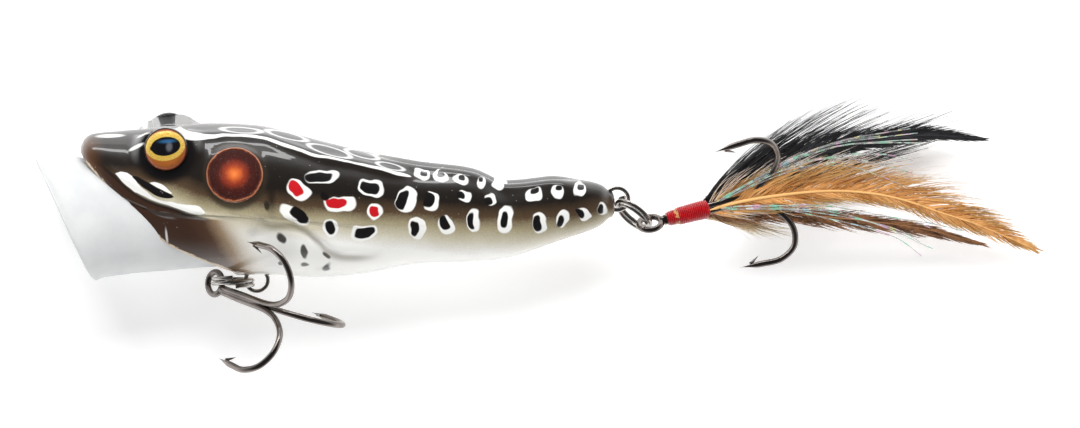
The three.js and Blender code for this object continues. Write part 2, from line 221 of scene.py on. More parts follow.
def piece(name, bm, finish, body, replaces=()):
    """Turns a bmesh in millimetres into a finished piece that rides on a body."""
    bmesh.ops.transform(bm, verts=bm.verts, matrix=Matrix.Scale(MM, 4))
    for f in bm.faces:
        f.smooth = True
    data = bpy.data.meshes.new(name)
    bm.to_mesh(data)
    bm.free()
    made = bpy.data.objects.new(name, data)
    bpy.context.scene.collection.objects.link(made)
    data.materials.append(finish)
    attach(made, body)
    if replaces:
        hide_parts(*replaces)
    return made


# ---------- shader making ----------
class Number:
    """A shader socket that holds a number and can be used in sums."""

    def __init__(self, finish, socket):
        self.finish = finish
        self.socket = socket

    def _do(self, operation, *values):
        return self.finish.node("ShaderNodeMath", {"operation": operation}, dict(enumerate(values)))

    def __add__(self, other):
        return self._do("ADD", self, other)

    __radd__ = __add__

    def __sub__(self, other):
        return self._do("SUBTRACT", self, other)

    def __rsub__(self, other):
        return self._do("SUBTRACT", other, self)

    def __mul__(self, other):
        return self._do("MULTIPLY", self, other)

    __rmul__ = __mul__

    def __truediv__(self, other):
        return self._do("DIVIDE", self, other)

    def __abs__(self):
        return self._do("ABSOLUTE", self)

    def __pow__(self, other):
        return self._do("POWER", self, other)

    def least(self, other):
        return self._do("MINIMUM", self, other)

    def most(self, other):
        return self._do("MAXIMUM", self, other)

    def ease(self, start, end):
        """0 at start, 1 at end, eased between. Start may be the greater."""
        flip = start > end
        low, high = (end, start) if flip else (start, end)
        found = self.finish.node(
            "ShaderNodeMapRange", {"interpolation_type": "SMOOTHSTEP"},
            {"Value": self, "From Min": low, "From Max": high, "To Min": 0.0, "To Max": 1.0},
        )
        return 1 - found if flip else found


class Finish:
    """A material under construction."""

    def __init__(self, name):
        self.material = bpy.data.materials.new(name)
        self.material.use_nodes = True
        self.tree = self.material.node_tree
        self.tree.nodes.clear()

    def node(self, kind, settings=(), sockets=(), out=0, plain=False):
        """Any node: its settings first, then values or links for its sockets."""
        made = self.tree.nodes.new(kind)
        for key, value in dict(settings).items():
            setattr(made, key, value)
        for key, value in dict(sockets).items():
            target = made.inputs[key]
            if isinstance(value, Number):
                value = value.socket
            if isinstance(value, bpy.types.NodeSocket):
                self.tree.links.new(value, target)
            else:
                target.default_value = value
        return made.outputs[out] if plain else Number(self, made.outputs[out])

    def ramp(self, value, stops):
        """A colour that changes with a number. stops are (place, colour)."""
        made = self.tree.nodes.new("ShaderNodeValToRGB")
        band = made.color_ramp
        while len(band.elements) < len(stops):
            band.elements.new(0.5)
        for element, (place, colour) in zip(band.elements, stops):
            element.position = place
            element.color = (*colour, 1)
        self.tree.links.new(value.socket, made.inputs[0])
        return made.outputs[0]

    def mix(self, share, first, second):
        """Colour first where share is 0 and second where it is 1."""
        rgba = [c if isinstance(c, bpy.types.NodeSocket) else (*c, 1) for c in (first, second)]
        sockets = {0: share, 6: rgba[0], 7: rgba[1]}
        return self.node("ShaderNodeMix", {"data_type": "RGBA"}, sockets, out=2, plain=True)

    def noise(self, vector, scale, detail=2.0, rough=0.5):
        sockets = {"Vector": vector, "Scale": scale, "Detail": detail, "Roughness": rough}
        return self.node("ShaderNodeTexNoise", {}, sockets)

    def here(self):
        """The point of the surface, in metres."""
        return self.node("ShaderNodeTexCoord", {}, {}, out="Object", plain=True)

    def attribute(self, name, out="Fac"):
        return self.node("ShaderNodeAttribute", {"attribute_name": name}, {}, out=out)

    def split(self, vector):
        return [self.node("ShaderNodeSeparateXYZ", {}, {0: vector}, out=i) for i in range(3)]

    def bump(self, height, distance, strength=1.0):
        sockets = {"Height": height, "Distance": distance, "Strength": strength}
        return self.node("ShaderNodeBump", {}, sockets, plain=True)

    def surface(self, **sockets):
        """The Principled shader, its sockets given by name with _ for each space."""
        named = {key.replace("_", " "): value for key, value in sockets.items()}
        for key in ("Base Color", "Emission Color"):
            if key in named and isinstance(named[key], tuple) and len(named[key]) == 3:
                named[key] = (*named[key], 1)
        shader = self.node("ShaderNodeBsdfPrincipled", {}, named, plain=True)
        end = self.tree.nodes.new("ShaderNodeOutputMaterial")
        self.tree.links.new(shader, end.inputs["Surface"])
        return self.material


def metal(name, colour, rough, tint=0.25):
    """Polished wire with faint drawing marks and a slight change of shade."""
    f = Finish(name)
    at = f.here()
    cloud = f.noise(at, 420, 3)
    fine = f.noise(at, 5200, 2)
    darker = tuple(c * (1 - tint) for c in colour)
    return f.surface(
        Base_Color=f.mix(cloud.ease(0.3, 0.7), darker, colour),
        Metallic=1.0,
        Roughness=rough + cloud * 0.1 + fine * 0.04,
        Normal=f.bump(fine, 0.00001, 0.4),
    )


# ---------- the body's shape ----------
# Nose to tail: x, top of the back, bottom of the belly, half width.
STATIONS = [
    [0, 8.2, 6.6, 1.9], [0.5, 9, 4.6, 3.2], [1.6, 9.6, 1.6, 4.4], [4.5, 9.9, -3.6, 6.3],
    [8, 10.2, -7.2, 7.7], [11.5, 10.5, -9, 8.5], [15.5, 10.9, -9.5, 8.9], [20, 10.9, -9.4, 9.1],
    [25, 10.4, -9.3, 9.1], [31.5, 8.7, -9.7, 8.6], [38, 7.1, -9.1, 7.6], [44.4, 5.7, -7.9, 6.5],
    [51.5, 4.9, -7.6, 5.5], [57, 3.3, -7, 4.8], [63.3, 3.8, -4.9, 4.2], [68.5, 3, -3.1, 2.9],
    [70.4, 1.9, -1.7, 1.7],
]
MOUTH_EDGE = [
    (-11, 22.6), (-8.2, 19.9), (-6.4, 16), (-4.1, 11.5), (-1.1, 8.1), (2.3, 4.5), (5.9, 1.1),
    (7, -0.4), (8.5, -3),
]
EYE = (11.5, 6.9, 8.5)
EAR = (20.6, 8.1, 5.3)
EYE_RADIUS = 2.95
EAR_RADIUS = 3.8
EYE_FACING = (-0.06, 0.97, 0.2)
EAR_FACING = (0, 0.91, 0.415)
# The flat seats of the eyes and ears: centre, way out, radius, width of the soft edge.
SEATS = ((EYE, EYE_FACING, 3.2, 2.0), (EAR, EAR_FACING, 3.75, 0.7))
SEAT_LEVEL = -0.1
# Lines along the body: x, middle height.
RIDGE = [
    (10, 9.6), (15.5, 9.1), (20, 9.3), (24.7, 8.9), (28.5, 7.5), (32.5, 6.2), (36.7, 5.5),
    (41, 4.5), (44, 4),
]
LIP = [(3.6, 5), (4.8, 4.3), (8, 2.5), (12, 0.3), (16.3, -1.3), (19, -3)]
CREASE = [
    (23.6, -2.6), (24.7, -2.9), (28.5, -2.9), (31.5, -4.8), (34.1, -6.8), (38.1, -6.9),
    (40, -6.4),
]


def skin(t, angle, inset=0.0):
    """A point of the plain body, in the lure's frame."""
    x, top, bottom, half = spline(STATIONS, t)
    tall = max((top - bottom) / 2 - inset, 0.2)
    wide = max(half - inset, 0.2)
    return Vector((x, -wide * math.sin(angle), (top + bottom) / 2 + tall * math.cos(angle)))


def mouth_start(angle):
    """Where along the body its skin starts, at this angle round it."""
    def behind(t):
        p = skin(t, angle)
        return p.x - table(MOUTH_EDGE, p.z)[0]

    steps = 60
    for k in range(steps, -1, -1):
        low = 0.5 * k / steps
        if behind(low) < 0:
            high = low + 0.5 / steps
            for _ in range(20):
                middle = (low + high) / 2
                low, high = (low, middle) if behind(middle) > 0 else (middle, high)
            return high
    return 0.0


def mouth_gap(p):
    """How far a point lies behind the mouth's edge, in millimetres."""
    ahead = min(
        ((p.x - x) ** 2 + (p.z - z) ** 2) ** 0.5
        for x, z in (
            (a[1] + (b[1] - a[1]) * k / 8, a[0] + (b[0] - a[0]) * k / 8)
            for a, b in zip(MOUTH_EDGE, MOUTH_EDGE[1:]) for k in range(9)
        )
    )
    return ahead if p.x > table(MOUTH_EDGE, p.z)[0] else -ahead


def line_bump(line, x, v, width):
    """1 on the line, falling off to either side and at its ends."""
    if x < line[0][0] - 1 or x > line[-1][0] + 1:
        return 0
    ends = smooth(x, line[0][0] - 1, line[0][0] + 1.5) * smooth(x, line[-1][0] + 1, line[-1][0] - 3)
    return ends * math.exp(-(((v - table(line, x)[0]) / width) ** 2))


def seated(p, centre, facing, radius, soft, level):
    """Draws p to a flat seat round centre."""
    away = p - centre
    along = away.dot(facing)
    if along < -4:
        return p
    out = (away - facing * along).length
    share = smooth(out, radius + soft, radius)
    return p + facing * ((level - along) * share)


def body_point(t, angle):
    """A point of the body with its ridges, creases and flat seats, in the lure's frame."""
    p = skin(t, angle)
    v = 0.9877 * p.z - 0.1564 * abs(p.y)
    x, top, bottom, half = spline(STATIONS, t)
    tall = max((top - bottom) / 2, 0.5)
    out = Vector((0, -math.sin(angle) / half, math.cos(angle) / tall)).normalized()
    lift = 0.42 * line_bump(RIDGE, x, v, 0.6) + 0.22 * line_bump(LIP, x, v, 0.55)
    lift -= 0.25 * line_bump(CREASE, x, v, 0.5)
    lift += 0.2 * line_bump([(a, b + 1.0) for a, b in CREASE], x, v, 0.8)
    lift -= 0.3 * math.exp(-(((x - 57 + 0.5 * v) / 1.3) ** 2)) * smooth(v, -2.5, 1.5)
    rear = smooth(x, 36, 44) * smooth(x, 68, 63) * smooth(p.z, 0, 2)
    ridges = 0.35 * math.exp(-(((abs(p.y) - 2.1) / 0.8) ** 2))
    groove = 0.4 * math.exp(-((p.y / 0.9) ** 2))
    lift += rear * (ridges - groove)
    p = p + out * lift
    side = -1 if p.y < 0 else 1
    for centre, facing, radius, soft in SEATS:
        place = Vector((centre[0], side * centre[1], centre[2]))
        towards = Vector((facing[0], side * facing[1], facing[2])).normalized()
        p = seated(p, place, towards, radius, soft, SEAT_LEVEL)
    return p


# ---------- settings ----------
def colour_setting(name, description, default):
    """A colour that a user can change."""
    return FloatVectorProperty(
        name=name, description=description, subtype="COLOR", size=3, default=default
    )


class PopperBodySettings(bpy.types.PropertyGroup):
    """The body's paint and fineness."""

    rows: IntProperty(name="Rows", description="Faces from nose to tail", default=150, min=40)
    around: IntProperty(name="Around", description="Faces round the body", default=128, min=32)
    back: colour_setting("Back", "Colour of the back", (0.011, 0.008, 0.006))
    flank: colour_setting("Flank", "Colour below the back", (0.085, 0.052, 0.028))
    olive: colour_setting("Olive", "Colour above the belly", (0.36, 0.31, 0.19))
    belly: colour_setting("Belly", "Colour of the belly", (0.93, 0.925, 0.89))
    jaw: colour_setting("Jaw", "Colour of the lower jaw", (0.045, 0.021, 0.012))
    spot: colour_setting("Spot", "Colour of the red spots", (0.55, 0.008, 0.014))


class PopperTackleSettings(bpy.types.PropertyGroup):
    """Wire, rings and hooks."""

    wire: FloatProperty(
        name="Wire", description="Radius of the hanger and ring wire, in millimetres",
        default=0.28, min=0.1,
    )
    hook_wire: FloatProperty(
        name="Hook wire", description="Radius of the hook wire, in millimetres",
        default=0.43, min=0.1,
    )
    steel: colour_setting("Steel", "Colour of rings and eyes", (0.56, 0.53, 0.50))
    nickel: colour_setting("Black nickel", "Colour of the hooks", (0.30, 0.265, 0.245))
    thread: colour_setting("Thread", "Colour of the binding", (0.56, 0.008, 0.014))


class PopperDressingSettings(bpy.types.PropertyGroup):
    """Hair, feathers and tinsel."""

    hairs: IntProperty(name="Hairs", description="How many black hairs", default=330, min=10)
    barbs: IntProperty(
        name="Barbs", description="How many barbs on each side of a feather", default=330, min=10
    )
    tinsels: IntProperty(name="Tinsels", description="How many strips of tinsel", default=10, min=2)
    tan: colour_setting("Tan", "Colour of the hackle", (0.70, 0.26, 0.055))
    black: colour_setting("Black", "Colour of the hair", (0.008, 0.008, 0.009))


class PopperStageSettings(bpy.types.PropertyGroup):
    """Camera, light and floor."""

    lens: FloatProperty(
        name="Lens", description="Focal length", default=400.0, min=20, unit="CAMERA"
    )
    view_width: FloatProperty(
        name="View width", description="Width seen at the lure's axis", default=0.144, unit="LENGTH"
    )
    key: FloatProperty(name="Key", description="Power of the key light", default=5.6, unit="POWER")
    sky: FloatProperty(
        name="Sky", description="Strength of the light all round", default=0.85, min=0
    )
    glow: FloatProperty(
        name="Glow", description="Light given off by the pale floor", default=0.3, min=0
    )


def settings(name):
    return getattr(bpy.context.scene, "popper_" + name)


# ---------- body ----------
# Each spot: middle x, middle height, half length, half height, turn in degrees.
WHITE_SPOTS = [
    (29.0, 1.93, 1.7, 1.05, -38), (34.6, 0.2, 1.95, 1.05, 2), (39.2, -0.87, 0.95, 0.9, 45),
    (32.1, 3.8, 2.1, 0.82, 4), (38.7, 2.33, 1.6, 1.08, -20), (43.4, 0.67, 1.25, 1.65, -14),
    (28.5, -1.27, 2.0, 0.9, -28), (33.3, -3.15, 0.85, 1.3, 5), (37.9, -3.65, 1.7, 1.05, 5),
    (44.75, -3.1, 1.2, 1.35, -20), (48.7, -2.6, 1.05, 1.3, 15), (52.3, -2.2, 0.8, 1.38, 5),
    (56.6, -1.93, 1.0, 1.7, -8), (61.0, -2.4, 0.85, 1.45, 8), (64.0, -1.85, 0.78, 1.3, -28),
    (66.9, -1.13, 0.8, 1.0, 25), (69.4, -0.47, 0.56, 0.82, 10), (46.75, 0.56, 0.95, 1.25, -15),
    (51.0, 1.07, 0.85, 0.78, -10), (54.5, 0.73, 0.58, 0.78, 20), (45.4, 4.1, 1.05, 0.7, -12),
    (48.0, 3.87, 1.0, 0.7, -12), (50.5, 3.4, 0.98, 0.7, -15), (53.2, 2.87, 0.62, 0.7, -20),
    (55.6, 2.7, 0.82, 0.58, -25), (60.3, 1.4, 1.05, 0.9, 8), (63.5, 1.87, 0.9, 0.85, 0),
    (66.4, 2.17, 0.85, 0.85, -10),
]
BLACK_SPOTS = [
    (31.6, 3.75, 1.7, 0.6, 3), (38.6, 2.4, 1.2, 0.76, -22), (42.9, 0.65, 0.68, 1.28, -18),
    (29.1, -1.27, 1.4, 0.76, -35), (33.25, -3.05, 0.52, 1.02, 8), (37.95, -3.6, 1.32, 0.72, 8),
    (44.4, -3.2, 0.58, 1.0, -8), (48.4, -2.3, 0.62, 1.02, 18), (52.1, -2.2, 0.48, 0.98, 8),
    (56.6, -1.85, 0.48, 1.05, -5), (60.7, -2.45, 0.52, 1.08, 8), (63.7, -2.25, 0.42, 0.9, -28),
    (66.5, -1.0, 0.52, 0.78, 20), (69.2, -0.53, 0.36, 0.64, 8), (46.3, 0.7, 0.74, 0.95, -15),
    (50.55, 1.15, 0.62, 0.52, -10), (54.2, 0.55, 0.42, 0.55, 20), (45.7, 4.2, 0.46, 0.36, 0),
    (48.1, 4.2, 0.52, 0.4, 0), (50.6, 3.65, 0.5, 0.4, 0), (53.1, 3.2, 0.34, 0.34, 0),
    (60.4, 1.95, 0.5, 0.36, 0), (63.7, 2.35, 0.5, 0.36, 0), (66.55, 2.5, 0.5, 0.4, 0),
    (32.7, 1.15, 0.6, 0.42, -10),
]
RED_SPOTS = [
    (28.6, 2.13, 1.18, 0.66, -45), (34.1, 0.4, 1.22, 0.72, 0), (39.2, -0.87, 0.58, 0.66, 10),
]
PLAIN_SPOTS = [
    (24.7, -0.13, 0.4, 0.75, 22), (26.8, -4.3, 0.36, 0.8, 22), (29.9, -6.2, 0.46, 0.85, 20),
    (32.7, -6.7, 0.37, 0.75, 24), (26.8, -7.75, 0.48, 0.28, 20), (29.8, -7.95, 0.6, 0.33, 20),
    (32.8, -8.25, 0.6, 0.3, 25),
]
# Long thin rings on the back, between the ridges, partly paint and partly painted highlights, and
# painted highlights on the nose.
BACK_RINGS_AND_HIGHLIGHTS = [
    (21.4, 9.95, 2.6, 0.36, -4), (27.4, 9.25, 2.7, 0.4, -14), (33.1, 7.2, 2.9, 0.52, -16),
    (37.4, 6.75, 2.2, 0.4, -15), (41.2, 5.15, 1.8, 0.38, -14),
]
NOSE_HIGHLIGHTS = [(3.9, 9.2, 1.9, 0.24, 2), (8.3, 9.3, 0.8, 0.14, 26), (7.5, 7.7, 1.15, 0.26, 26)]
# Bands along the body: x, middle height, half height.
# The white ridge stripe is partly paint and partly a painted highlight along the ridge.
RIDGE_STRIPE_AND_HIGHLIGHT = [
    (11.6, 10.1, -0.3), (12.8, 10.0, 0.25), (13.7, 9.55, 0.6), (15.1, 9.13, 0.55),
    (16.4, 9.08, 0.38), (17.7, 9.15, 0.27), (19.7, 9.28, 0.19), (22.4, 9.2, 0.18),
    (24.4, 8.87, 0.2), (26.7, 8.1, 0.24), (29.1, 7.3, 0.22), (31.3, 6.6, 0.18), (34.5, 6.0, 0.14),
    (37.7, 5.36, 0.15), (40.8, 4.57, 0.2), (42.9, 4.05, 0.22), (44.2, 3.7, -0.3),
]
LIP_STRIPE = [
    (4.4, 4.3, -0.3), (5.1, 4.08, 0.26), (5.85, 3.65, 0.75), (6.85, 3.0, 0.95), (7.7, 2.2, 0.62),
    (8.7, 1.5, 0.4), (10.1, 0.73, 0.2), (11.35, 0.31, 0.18), (12.3, 0.1, 0.32), (13.4, -0.25, 0.38),
    (14.6, -0.53, 0.54), (15.6, -0.7, 0.58), (16.25, -0.94, 0.35), (16.8, -1.1, -0.3),
]
LIP_BLOT = [
    (6.9, 3.8, -0.3), (7.5, 3.5, 0.34), (8.5, 2.78, 0.52), (9.7, 2.06, 0.56), (10.9, 1.5, 0.5),
    (12.0, 1.2, 0.32), (12.7, 1.05, -0.3),
]
LIP_PATCH = [
    (9.0, 2.95, -0.2), (9.6, 2.75, 0.2), (10.3, 2.5, 0.42), (11.3, 2.1, 0.42), (12.0, 1.7, 0.2),
    (12.6, 1.5, -0.2),
]
LIP_EDGE = [
    (-1, 7.0), (2, 5.8), (4, 4.35), (6, 2.6), (8, 1.2), (10, 0.3), (12.5, -0.45), (15, -1.35),
    (17, -1.8), (21, -2.2), (26, -3),
]
SHADE_LINE = [
    (0, 3.4), (9, 3.2), (14, 2.0), (18, 0.7), (24, 0.2), (32, -0.5), (40, -1.0), (50, -1.9),
    (57, -2.1), (64, -1.7), (70, -0.6),
]

# 1 for an oval spot, more for a squarer one.
SQUARENESS = 1.4


def spot_distance(f, flat, spots, square=False):
    """How far a point lies outside the nearest spot, in millimetres. flat is the point, z = 1."""
    nearest = None
    dot = {"operation": "DOT_PRODUCT"}
    for x, v, long, tall, turn in spots:
        c, s = math.cos(math.radians(turn)), math.sin(math.radians(turn))
        rows = (
            (c / long, s / long, -(x * c + v * s) / long),
            (-s / tall, c / tall, (x * s - v * c) / tall),
        )
        along, up = (
            f.node("ShaderNodeVectorMath", dot, {0: flat, 1: row}, out="Value") for row in rows
        )
        first, second = along * along, up * up
        if square:
            first, second = first**SQUARENESS, second**SQUARENESS
        away = (first + second) ** (0.5 / SQUARENESS if square else 0.5)
        away = (away - 1) * min(long, tall)
        nearest = away if nearest is None else nearest.least(away)
    return nearest


def curve(f, x, rows, column=1):
    """The rows' column as a smooth function of x."""
    low, high = rows[0][0], rows[-1][0]
    values = [row[column] for row in rows]
    bottom = min(values) - 0.2
    tall = max(values) + 0.2 - bottom
    made = f.tree.nodes.new("ShaderNodeFloatCurve")
    points = made.mapping.curves[0].points
    while len(points) < len(rows):
        points.new(0.5, 0.5)
    for point, row, value in zip(points, rows, values):
        point.location = ((row[0] - low) / (high - low), (value - bottom) / tall)
    made.mapping.update()
    share = ((x - low) / (high - low)).most(0).least(1)
    f.tree.links.new(share.socket, made.inputs["Value"])
    return Number(f, made.outputs[0]) * tall + bottom


def band(f, x, v, rows):
    """How far a point lies outside a band, in millimetres."""
    return abs(v - curve(f, x, rows)) - curve(f, x, rows, 2)


WHITE = (0.90, 0.90, 0.87)
BLACK = (0.005, 0.004, 0.004)


def paint_finish():
    """The sprayed frog pattern. x runs from the nose, v up the side as seen from the side."""
    own = settings("body")
    f = Finish("frog_paint")
    at = f.here()
    x, y, z = f.split(at)
    x = x * 1000 - CENTRE_X
    up, out = y * 1000 - CENTRE_Y, z * 1000 - AXIS_HEIGHT
    tilt = math.radians(BACK_TILT)
    side = up * math.sin(tilt) - out * math.cos(tilt)
    height = up * math.cos(tilt) + out * math.sin(tilt)
    v = height * math.cos(tilt) - abs(side) * math.sin(tilt)
    from_mouth = f.attribute("from_mouth")

    warp_x = f.noise(at, 420, 1)
    warp_v = f.noise(at, 433, 1)
    blob_x = x + (warp_x - 0.5) * 1.3
    blob_v = v + (warp_v - 0.5) * 1.3
    flat = f.node("ShaderNodeCombineXYZ", {}, {0: blob_x, 1: blob_v, 2: 1.0}, plain=True)
    still = f.node("ShaderNodeCombineXYZ", {}, {0: x, 1: v, 2: 1.0}, plain=True)
    cloud = f.noise(at, 160, 3)
    mist = f.noise(at, 5200, 2)

    # Shade from back to belly, sprayed, so that it is grainy.
    depth = v - curve(f, x, SHADE_LINE) + (cloud - 0.5) * 1.3 + (mist - 0.5) * 1.1
    shade = depth / 12 + 0.5
    base = f.ramp(shade, [
        (0.0, own.belly), (0.12, own.belly), (0.27, (0.62, 0.58, 0.45)), (0.40, own.olive),
        (0.52, own.flank), (0.68, own.back), (1.0, own.back),
    ])
    # Painted shade: a dark upright band just behind the ear.
    behind_ear_shade = abs(x - 25.5).ease(0.9, 0.0) * v.ease(-2.5, 1.0) * v.ease(8.6, 7.6)
    base = f.mix(behind_ear_shade * 0.75, base, own.back)
    eye_shade = spot_distance(f, still, [(11.5, 7.0, 3.1, 3.2, 0)]).ease(1.5, 0.2)
    base = f.mix(eye_shade, base, BLACK)
    ear_shade = abs(spot_distance(f, still, [(20.7, 3.9, 3.85, 4.05, 0)])).ease(0.8, 0.1)
    base = f.mix(ear_shade * 0.8, base, (0.03, 0.021, 0.013))

    # Lower jaw, sprayed out to the rear.
    lip = v - curve(f, x, LIP_EDGE)
    away = x + v * 0.55 + (cloud - 0.5) * 1.5 + (mist - 0.5) * 0.8
    jaw_colour = f.ramp(away.ease(12.0, 20.5), [
        (0.0, own.jaw), (0.3, (0.075, 0.036, 0.02)), (0.6, (0.30, 0.21, 0.13)),
        (1.0, (0.72, 0.66, 0.54)),
    ])
    jaw = lip.ease(0.3, -0.2) * away.ease(21.5, 17.0)
    base = f.mix(jaw, base, jaw_colour)
    under_lip = band(f, x, v, [(r[0], r[1] - 0.1, 0.12) for r in LIP_EDGE])
    under_lip = under_lip.ease(0.3, 0.0) * x.ease(17.5, 15)
    base = f.mix(under_lip * 0.7, base, BLACK)
    nose = x.ease(3.6, 0.3) * v.ease(9.8, 8.2)
    base = f.mix(nose * 0.8, base, (0.13, 0.055, 0.022))

    # White and black marks of the lip, and the white ridge stripe, which is partly paint and partly
    # a painted highlight along the ridge.
    marks = ((LIP_STRIPE, WHITE), (LIP_PATCH, WHITE), (LIP_BLOT, BLACK), (RIDGE_STRIPE_AND_HIGHLIGHT, WHITE))
    for rows, colour in marks:
        inside = band(f, x + (warp_x - 0.5) * 0.3, v + (warp_v - 0.5) * 0.3, rows)
        share = inside.ease(0.06, -0.06)
        if rows is RIDGE_STRIPE_AND_HIGHLIGHT:
            share = share * side.ease(2.0, 0.0).most(x.ease(15, 17))
        base = f.mix(share, base, colour)
    # Painted highlights: white streaks along the nose and beside the eye.
    nose_highlights = spot_distance(f, still, NOSE_HIGHLIGHTS)
    base = f.mix(nose_highlights.ease(0.06, -0.08) * 0.9, base, WHITE)
    glint = spot_distance(f, still, [(11.55, -4.2, 0.17, 1.2, 6)])
    base = f.mix(glint.ease(0.06, -0.12) * 0.8, base, (0.8, 0.78, 0.75))
    # Grey rings on the back, partly paint and partly painted highlights along the ridges.
    rings_and_highlights = abs(spot_distance(f, still, BACK_RINGS_AND_HIGHLIGHTS))
    base = f.mix(rings_and_highlights.ease(0.11, 0.02) * 0.8, base, (0.78, 0.79, 0.78))

    # Spots.
    base = f.mix(spot_distance(f, flat, WHITE_SPOTS, True).ease(0.09, -0.07), base, WHITE)
    base = f.mix(spot_distance(f, flat, BLACK_SPOTS, True).ease(0.06, -0.06), base, BLACK)
    base = f.mix(spot_distance(f, flat, RED_SPOTS, True).ease(0.06, -0.06), base, own.spot)
    plain = spot_distance(f, flat, PLAIN_SPOTS)
    base = f.mix(plain.ease(0.12, -0.12) * 0.95, base, (0.022, 0.018, 0.013))

    # Painted shade along the foreleg crease, unpainted edge of the mouth, and flake in the paint.
    crease_shade = abs(v - curve(f, x, CREASE)).ease(0.9, 0.0) * x.ease(23, 26) * x.ease(41, 36)
    base = f.mix(crease_shade * 0.5, base, (0.20, 0.175, 0.10))
    edge = (from_mouth + (f.noise(at, 1500, 2) - 0.5) * 0.35).ease(0.4, 0.22)
    base = f.mix(edge, base, (0.66, 0.52, 0.36))
    fleck = f.node("ShaderNodeTexVoronoi", {"feature": "F1"}, {"Vector": at, "Scale": 1500})
    chance = f.noise(at, 1300, 1)
    fleck = fleck.ease(0.16, 0.06) * chance.ease(0.60, 0.64)
    base = f.mix(fleck * 0.5, base, (0.62, 0.58, 0.52))
    ripple = f.noise(at, 330, 2)
    return f.surface(
        Base_Color=base,
        Roughness=0.34 + fleck * 0.2,
        Metallic=fleck * 0.3,
        Coat_Weight=1.0,
        Coat_Roughness=0.03,
        Coat_IOR=1.5,
        Normal=f.bump(ripple, 0.00003, 0.5),
    )


# The wall inside the mouth: depth behind its edge, distance in from the skin.
MOUTH_WALL = [(3.6, 1.25), (0.6, 1.15), (0.12, 0.85), (0.02, 0.35)]
THROAT = Vector((13, 0, -1))
# The rounded end at the tail: distance past the last station, share of its size.
TAIL_CAP = [(0.25, 0.97), (0.45, 0.86), (0.6, 0.66), (0.68, 0.36)]


class POPPER_OT_body(bpy.types.Operator):
    """Make the painted body as one skin over both half shells."""

    bl_idname = "popper.body"
    bl_label = "Body"

    def execute(self, context):
        own = settings("body")
        rows, around = own.rows, own.around
        wall = len(MOUTH_WALL)
        total = rows + wall + len(TAIL_CAP)
        starts = {}

        def place(share, angle, reach):
            row = round(share * total)
            key = round(angle, 5)
            if key not in starts:
                starts[key] = mouth_start(angle)
            start = starts[key]
            if row < wall and not reach:
                return LURE @ THROAT
            if row < wall:
                depth, inset = MOUTH_WALL[row]
                edge = skin(start, angle)
                x, top, bottom, _ = spline(STATIONS, start)
                axis = Vector((edge.x, 0, (top + bottom) / 2))
                towards = (axis - edge).normalized() * inset * reach
                return LURE @ (edge + towards + Vector((depth, 0, depth * 0.3)))
            if row <= wall + rows:
                s = (row - wall) / rows
                t = start + (1 - start) * s
                return LURE @ body_point(t, angle)
            step, size = TAIL_CAP[row - wall - rows - 1]
            x, top, bottom, half = STATIONS[-1]
            size *= reach
            return lure_point(
                x + step, -half * size * math.sin(angle),
                (top + bottom) / 2 + (top - bottom) / 2 * size * math.cos(angle),
            )

        bm = shaped(total, around, place)
        from_mouth = bm.verts.layers.float.new("from_mouth")
        to_lure = LURE.inverted()
        for v in bm.verts:
            p = to_lure @ v.co
            v[from_mouth] = mouth_gap(p)
        replaced = ("body_shell_left", "body_shell_right")
        piece("painted_body", bm, paint_finish(), "lure", replaced)
        return {"FINISHED"}


def facing_on(side, facing):
    """The way out of an eye or ear over the ground, side -1 for left and 1 for right."""
    return (TURN @ Vector((facing[0], side * facing[1], facing[2]))).normalized()


def disc_frame(side, centre, facing):
    """From a disc's own frame, +X to the tail, +Y to the back and +Z outwards, to the ground's."""
    out = facing_on(side, facing)
    along = (Vector((1, 0, 0)) - out * out.x).normalized()
    across = out.cross(along) * -side
    place = lure_point(centre[0], side * centre[1], centre[2])
    turn = Matrix((along, across, out)).transposed().to_4x4()
    return Matrix.Translation(place) @ turn


def turned_disc(profile, to_ground, around=72):
    """A lathe of (radius, height) about the disc's axis. Each point keeps its place as disc."""
    rows = len(profile) - 1
    bm = shaped(rows, around, lambda share, angle, reach: Vector((
        reach * profile[round(share * rows)][0] * math.cos(angle),
        reach * profile[round(share * rows)][0] * math.sin(angle),
        profile[round(share * rows)][1],
    )))
    disc = bm.verts.layers.float_vector.new("disc")
    for v in bm.verts:
        v[disc] = v.co.copy()
    bmesh.ops.transform(bm, verts=bm.verts, matrix=to_ground)
    bmesh.ops.recalc_face_normals(bm, faces=bm.faces)
    return bm


